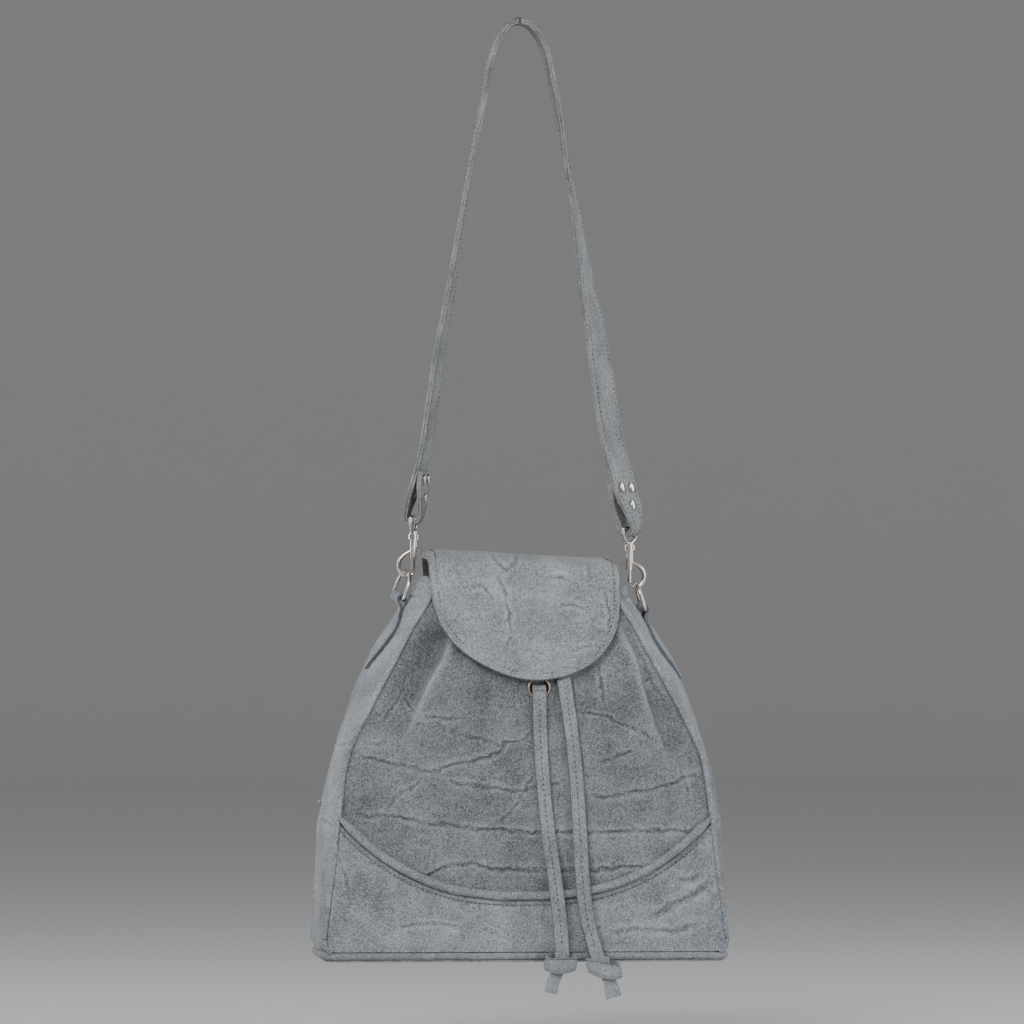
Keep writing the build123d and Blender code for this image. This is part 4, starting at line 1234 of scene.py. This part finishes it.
def strap_rows(side):
    """Middle, stacking direction, across and width down one limb and round its loop."""
    facts = SIDES[side]
    joint = joint_place(side)
    chain = [(HANG_HEIGHT + 1.6, 0.0), *LIMB, facts["end"]]
    last = joint @ Vector((LOOP_RISE[0][1], 0, LOOP_RISE[0][0]))
    chain.append((last.z, last.x))
    rows = []
    for (z0, x0), (z, x), (z1, x1) in zip(chain, chain[1:], chain[2:]):
        twist = facts["twist"] * min(max((575 - z) / 170, 0), 1)
        place = turned("Z", twist) @ turned("Y", -degrees(atan((x1 - x0) / (z0 - z1))))
        rows.append((x, 0, z, *(place @ Vector((1, 0, 0))), *(place @ Vector((0, 1, 0))), STRAP_WIDTH))
    turns = [(-LOOP_R * sin(pi * k / 8), LOOP_R * cos(pi * k / 8), LOOP_WIDTH) for k in range(9)]
    back = [(v, -u, width) for v, u, width in reversed(LOOP_RISE)]
    spots = [*LOOP_RISE, *turns, *back, (LOOP_END, -LOOP_RISE[0][1], STRAP_WIDTH)]
    for i, (v, u, width) in enumerate(spots):
        v0, u0, _ = spots[max(i - 1, 0)]
        v1, u1, _ = spots[min(i + 1, len(spots) - 1)]
        normal = (joint.to_3x3() @ Vector((v0 - v1, 0, u1 - u0))).normalized()
        across = joint.to_3x3() @ Vector((0, 1, 0))
        rows.append((*(joint @ Vector((u, 0, v))), *normal, *across, width))
    return np.array(rows)


def strap_line(side):
    rows = strap_rows(side)
    crown = np.array(((0, 0, HANG_HEIGHT + 1.6, 0, 0, 1, 0, 1, 0, STRAP_WIDTH),))
    limb = smooth_run(np.concatenate([crown, rows]), 330)
    if side == "left":
        limb = limb * (-1, 1, 1, -1, 1, 1, -1, 1, 1, 1)
        limb[:, 6:9] *= -1
    return limb


def strap():
    left, right = strap_line("left"), strap_line("right")
    whole = np.concatenate([left[:0:-1], right])
    at = lengths(whole)
    centre, stack, across, width = whole[:, :3], unit(whole[:, 3:6]), unit(whole[:, 6:9]), whole[:, 9]
    along = unit(np.gradient(centre, axis=0))
    across = unit(across - np.sum(across * along, 1, keepdims=True) * along)
    wave = 0.35 * waver(at / 26, 0.5, 181) * step(0, 60, at) * step(0, 60, at[-1] - at)
    centre = centre + wave[:, None] * stack
    ragged = width + 0.35 * waver(at / 15, 4.5, 183)

    def face(sideways, along_at, height):
        """Soft ripples, and a sewn groove near each edge."""
        half = np.max(np.abs(sideways), axis=1, keepdims=True)
        groove = -0.25 * hump(half - 3.0 - np.abs(sideways), 1.0)
        ripple = 0.22 * noise(along_at / 12 + 0 * sideways, sideways / 7 + 0 * along_at, 185)
        return np.where(np.abs(height) > 0.4, np.sign(height) * (groove + ripple), 0.0)

    layers = (("strap_upper_leather", 1, "strap_outer"), ("strap_under_leather", -1, "strap_lining"))
    for name, sign, node in layers:
        line = centre + sign * 0.5 * (STRAP_LAYER + STRAP_SPLIT) * stack
        piece, _ = strip(name, line, across, ragged + 0.3 * sign, STRAP_LAYER, lift=face)
        finish_piece(piece, "strap", [STRAP, STRAP_EDGE], [node])
    rows = []
    for sign in (1, -1):
        for edge in (1, -1):
            offset = (ragged / 2 - 3.0)[:, None] * edge * across
            rows.append((centre + offset + sign * STRAP_LAYER * stack, sign * stack))
    sewing("strap_stitching", rows, 3.3, 2.1, 0.7, "strap")


# ---------------------------------------------------------------- ring tabs
RING_LIFT = 3.3
RING_HEIGHT = 18.5
RING_LEAN = 17.0
RING_ROLL = 10.0
TAB_EYE_R = 2.55
TAB_ROWS = ((-10.0, -2.0, 18.5), (-16.0, -5.5, 26.0), (-22.0, -8.0, 27.0), (-31.0, -10.0, 22.0),
            (-40.0, -11.5, 13.0), (-46.0, -12.0, 5.0), (-48.5, -12.2, 1.6))  # below the bar, y, width
TAB_HALF_THICK = 0.95
TAB_CENTRE_OUT = 2.2  # the tab's middle, out from the side panel


def tab(side):
    """Leather tab: an eye round the ring's bar, opening into a tongue that lies on the gusset."""
    facts = SIDES[side]
    place = Matrix.Translation((facts["reach"], 0, facts["height"])) @ turned("Z", -facts["yaw"])
    place = place @ turned("Y", -RING_LEAN) @ turned("X", RING_ROLL)
    place = place @ Matrix.Translation((0, 0, RING_LIFT - RING_HEIGHT))
    top = place.translation
    turn = place.to_3x3()
    rows = []
    for k in range(9):
        a = radians(215 - k * 32)
        spot = top + turn @ Vector((TAB_EYE_R * cos(a), 0, TAB_EYE_R * sin(a)))
        rows.append((*spot, *(turn @ Vector((0, 1, 0))), 14.6, 0.0))
    for below, y, width in TAB_ROWS:
        height = top.z + below
        reach = float(gusset_x(np.float64(y), np.float64(height))) + TAB_CENTRE_OUT
        rows.append((reach, y, height, 0, 1, 0, width, 1.0))
    line = smooth_run(np.array(rows), 130)
    across = unit(line[:, 3:6])
    half = np.maximum(line[:, 6], 1.2) / 2
    u = np.linspace(-1, 1, 27)
    grid = line[:, None, :3] + (u[None, :] * half[:, None])[..., None] * across[:, None]
    resting = gusset_x(grid[..., 1], grid[..., 2]) + 1.3
    cling = np.clip(line[:, 7:8], 0, 1)
    grid[..., 0] = (1 - cling) * grid[..., 0] + cling * resting
    normal = unit(np.cross(np.gradient(grid, axis=1), np.gradient(grid, axis=0)))
    normal *= np.sign(normal[-30, 13, 0])
    grid[..., 0] += 0.25 * noise(grid[..., 1] / 7, grid[..., 2] / 9, 191) * cling
    mirrored = (-1, 1, 1) if side == "left" else (1, 1, 1)
    outer, inner = ((grid + facing * TAB_HALF_THICK * normal) * mirrored for facing in (1, -1))
    piece = shell(f"tab_leather_{side}", outer, inner)
    finish_piece(piece, "bag", [TRIM, DARK_EDGE], [f"tab_{side}"])
    rows = []
    for edge in (1, -1):
        part = slice(50, 126)
        column = 13 + edge * np.round(13 * np.maximum(1 - 2.4 / half[part], 0.0)).astype(int)
        index = np.arange(50, 126)
        spots = (grid[index, column] + 0.85 * normal[index, column]) * mirrored
        rows.append((spots, normal[index, column] * mirrored))
    sewing(f"tab_stitching_{side}", rows, 2.9, 1.8, 0.65)


# ---------------------------------------------------------------- metal
RIVET_SPOTS = ((27.0, -7.0, 4.05), (27.0, 7.0, 4.05), (14.5, 0.0, 5.9))  # up, across, half grip
RIVET_PROFILE = ((1.5, -4.4), (1.5, -0.1), (3.55, -0.1), (3.6, 0.3), (3.35, 0.8), (2.7, 1.1), (1.6, 1.28),
                 (0.4, 1.34))


def rivets(side):
    """Domed caps on both faces of the strap's joint."""
    joint = joint_place(side)
    mirrored = Vector((-1, 1, 1)) if side == "left" else Vector((1, 1, 1))
    places = []
    for up, across, grip in RIVET_SPOTS:
        for facing in (1, -1):
            centre = (joint @ Vector((facing * grip, across, up))) * mirrored
            axis = (joint.to_3x3() @ Vector((facing, 0, 0))) * mirrored
            places.append((centre, axis))
    piece = lathe(f"rivet_caps_{side}", places, RIVET_PROFILE)
    finish_piece(piece, "strap", [NICKEL], [f"rivets_{side}"])


def fittings():
    for side in SIDES:
        rivets(side)
        for kind in ("hook_eye", "hook_body", "trigger", "d_ring", "trigger_spring"):
            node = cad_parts[f"{kind}_{side}"]
            node.data.materials.clear()
            node.data.materials.append(STEEL if kind == "trigger_spring" else NICKEL)


# ---------------------------------------------------------------- stage
def light(name, place, aim, size, power):
    data = bpy.data.lights.new(name, "AREA")
    data.shape = "RECTANGLE"
    data.size, data.size_y = size
    data.energy = power
    lamp = placed(name, data)
    lamp.location = place
    lamp.visible_camera = False
    lamp.rotation_euler = (Vector(aim) - Vector(place)).to_track_quat("-Z", "Y").to_euler()


def backdrop():
    """A pale floor, wide enough to stand any camera on, that curls up at its far edge."""
    floor_z, radius, curl, wall_top, steps = -0.70, 9.0, 2.2, 6.0, 96
    turn = np.linspace(0, pi / 2, 14)
    profile = [(0.0, floor_z), (2.0, floor_z), (5.0, floor_z)]
    profile += [(radius - curl + curl * sin(t), floor_z + curl - curl * cos(t)) for t in turn]
    profile.append((radius, wall_top))
    angle = np.linspace(0, 2 * pi, steps, endpoint=False)
    points = [(r * cos(a), r * sin(a), z) for r, z in profile for a in angle]
    mesh = bpy.data.meshes.new("backdrop")
    faces = grid_quads(len(profile), steps, ring=True)
    mesh.from_pydata(points, [], [list(map(int, f)) for f in faces])
    mesh.polygons.foreach_set("use_smooth", np.ones(len(mesh.polygons), bool))
    sweep = placed("backdrop", mesh)
    material, _, skin = paint("pale_paper")
    skin.inputs["Base Color"].default_value = (0.7, 0.7, 0.7, 1)
    skin.inputs["Roughness"].default_value = 0.9
    mesh.materials.append(material)


def studio():
    backdrop()
    light("key", (-0.9, -2.4, 0.9), (0, 0, -0.35), (1.3, 1.2), 58)
    light("fill", (1.6, -2.0, 0.1), (0, 0, -0.4), (1.4, 1.6), 20)
    light("rim_left", (-1.9, 0.3, 0.2), (0, 0, -0.4), (0.8, 1.6), 16)
    light("rim_right", (1.9, 0.4, 0.3), (0, 0, -0.4), (0.8, 1.6), 16)
    world = bpy.data.worlds.new("studio")
    world.use_nodes = True
    world.node_tree.nodes["Background"].inputs["Color"].default_value = (1, 1, 1, 1)
    world.node_tree.nodes["Background"].inputs["Strength"].default_value = 0.3
    bpy.context.scene.world = world


def camera():
    distance, seen_width, aim_x, aim_z = 7.0, 0.699, -0.0048, -0.333
    data = bpy.data.cameras.new("camera")
    data.lens = data.sensor_width * distance / seen_width
    eye = placed("camera", data)
    a = radians(CAMERA_TURN)
    aim = Vector((aim_x * cos(a), -aim_x * sin(a), aim_z))
    eye.location = aim - distance * Vector((sin(a), cos(a), 0))
    eye.rotation_euler = (pi / 2, 0, -a)
    bpy.context.scene.camera = eye


camera()
studio()
for string_side in STRING_ROUTES:
    drawstring(string_side)
drawstring_inside()
wall("front", -1, (300, 290), front_relief, 0.8, 0.9, FRONT_EYELETS)
wall("back", 1, (220, 210), back_relief, 1.2, 1.2, BACK_EYELETS)
band()
band_roll()
base()
pocket()
lining()
eyelets()
snap()
flap()
strap()
for bag_side in SIDES:
    gusset_wall(bag_side)
    tab(bag_side)
    for wall_face in ("front", "back"):
        seam_roll(bag_side, wall_face)
fittings()
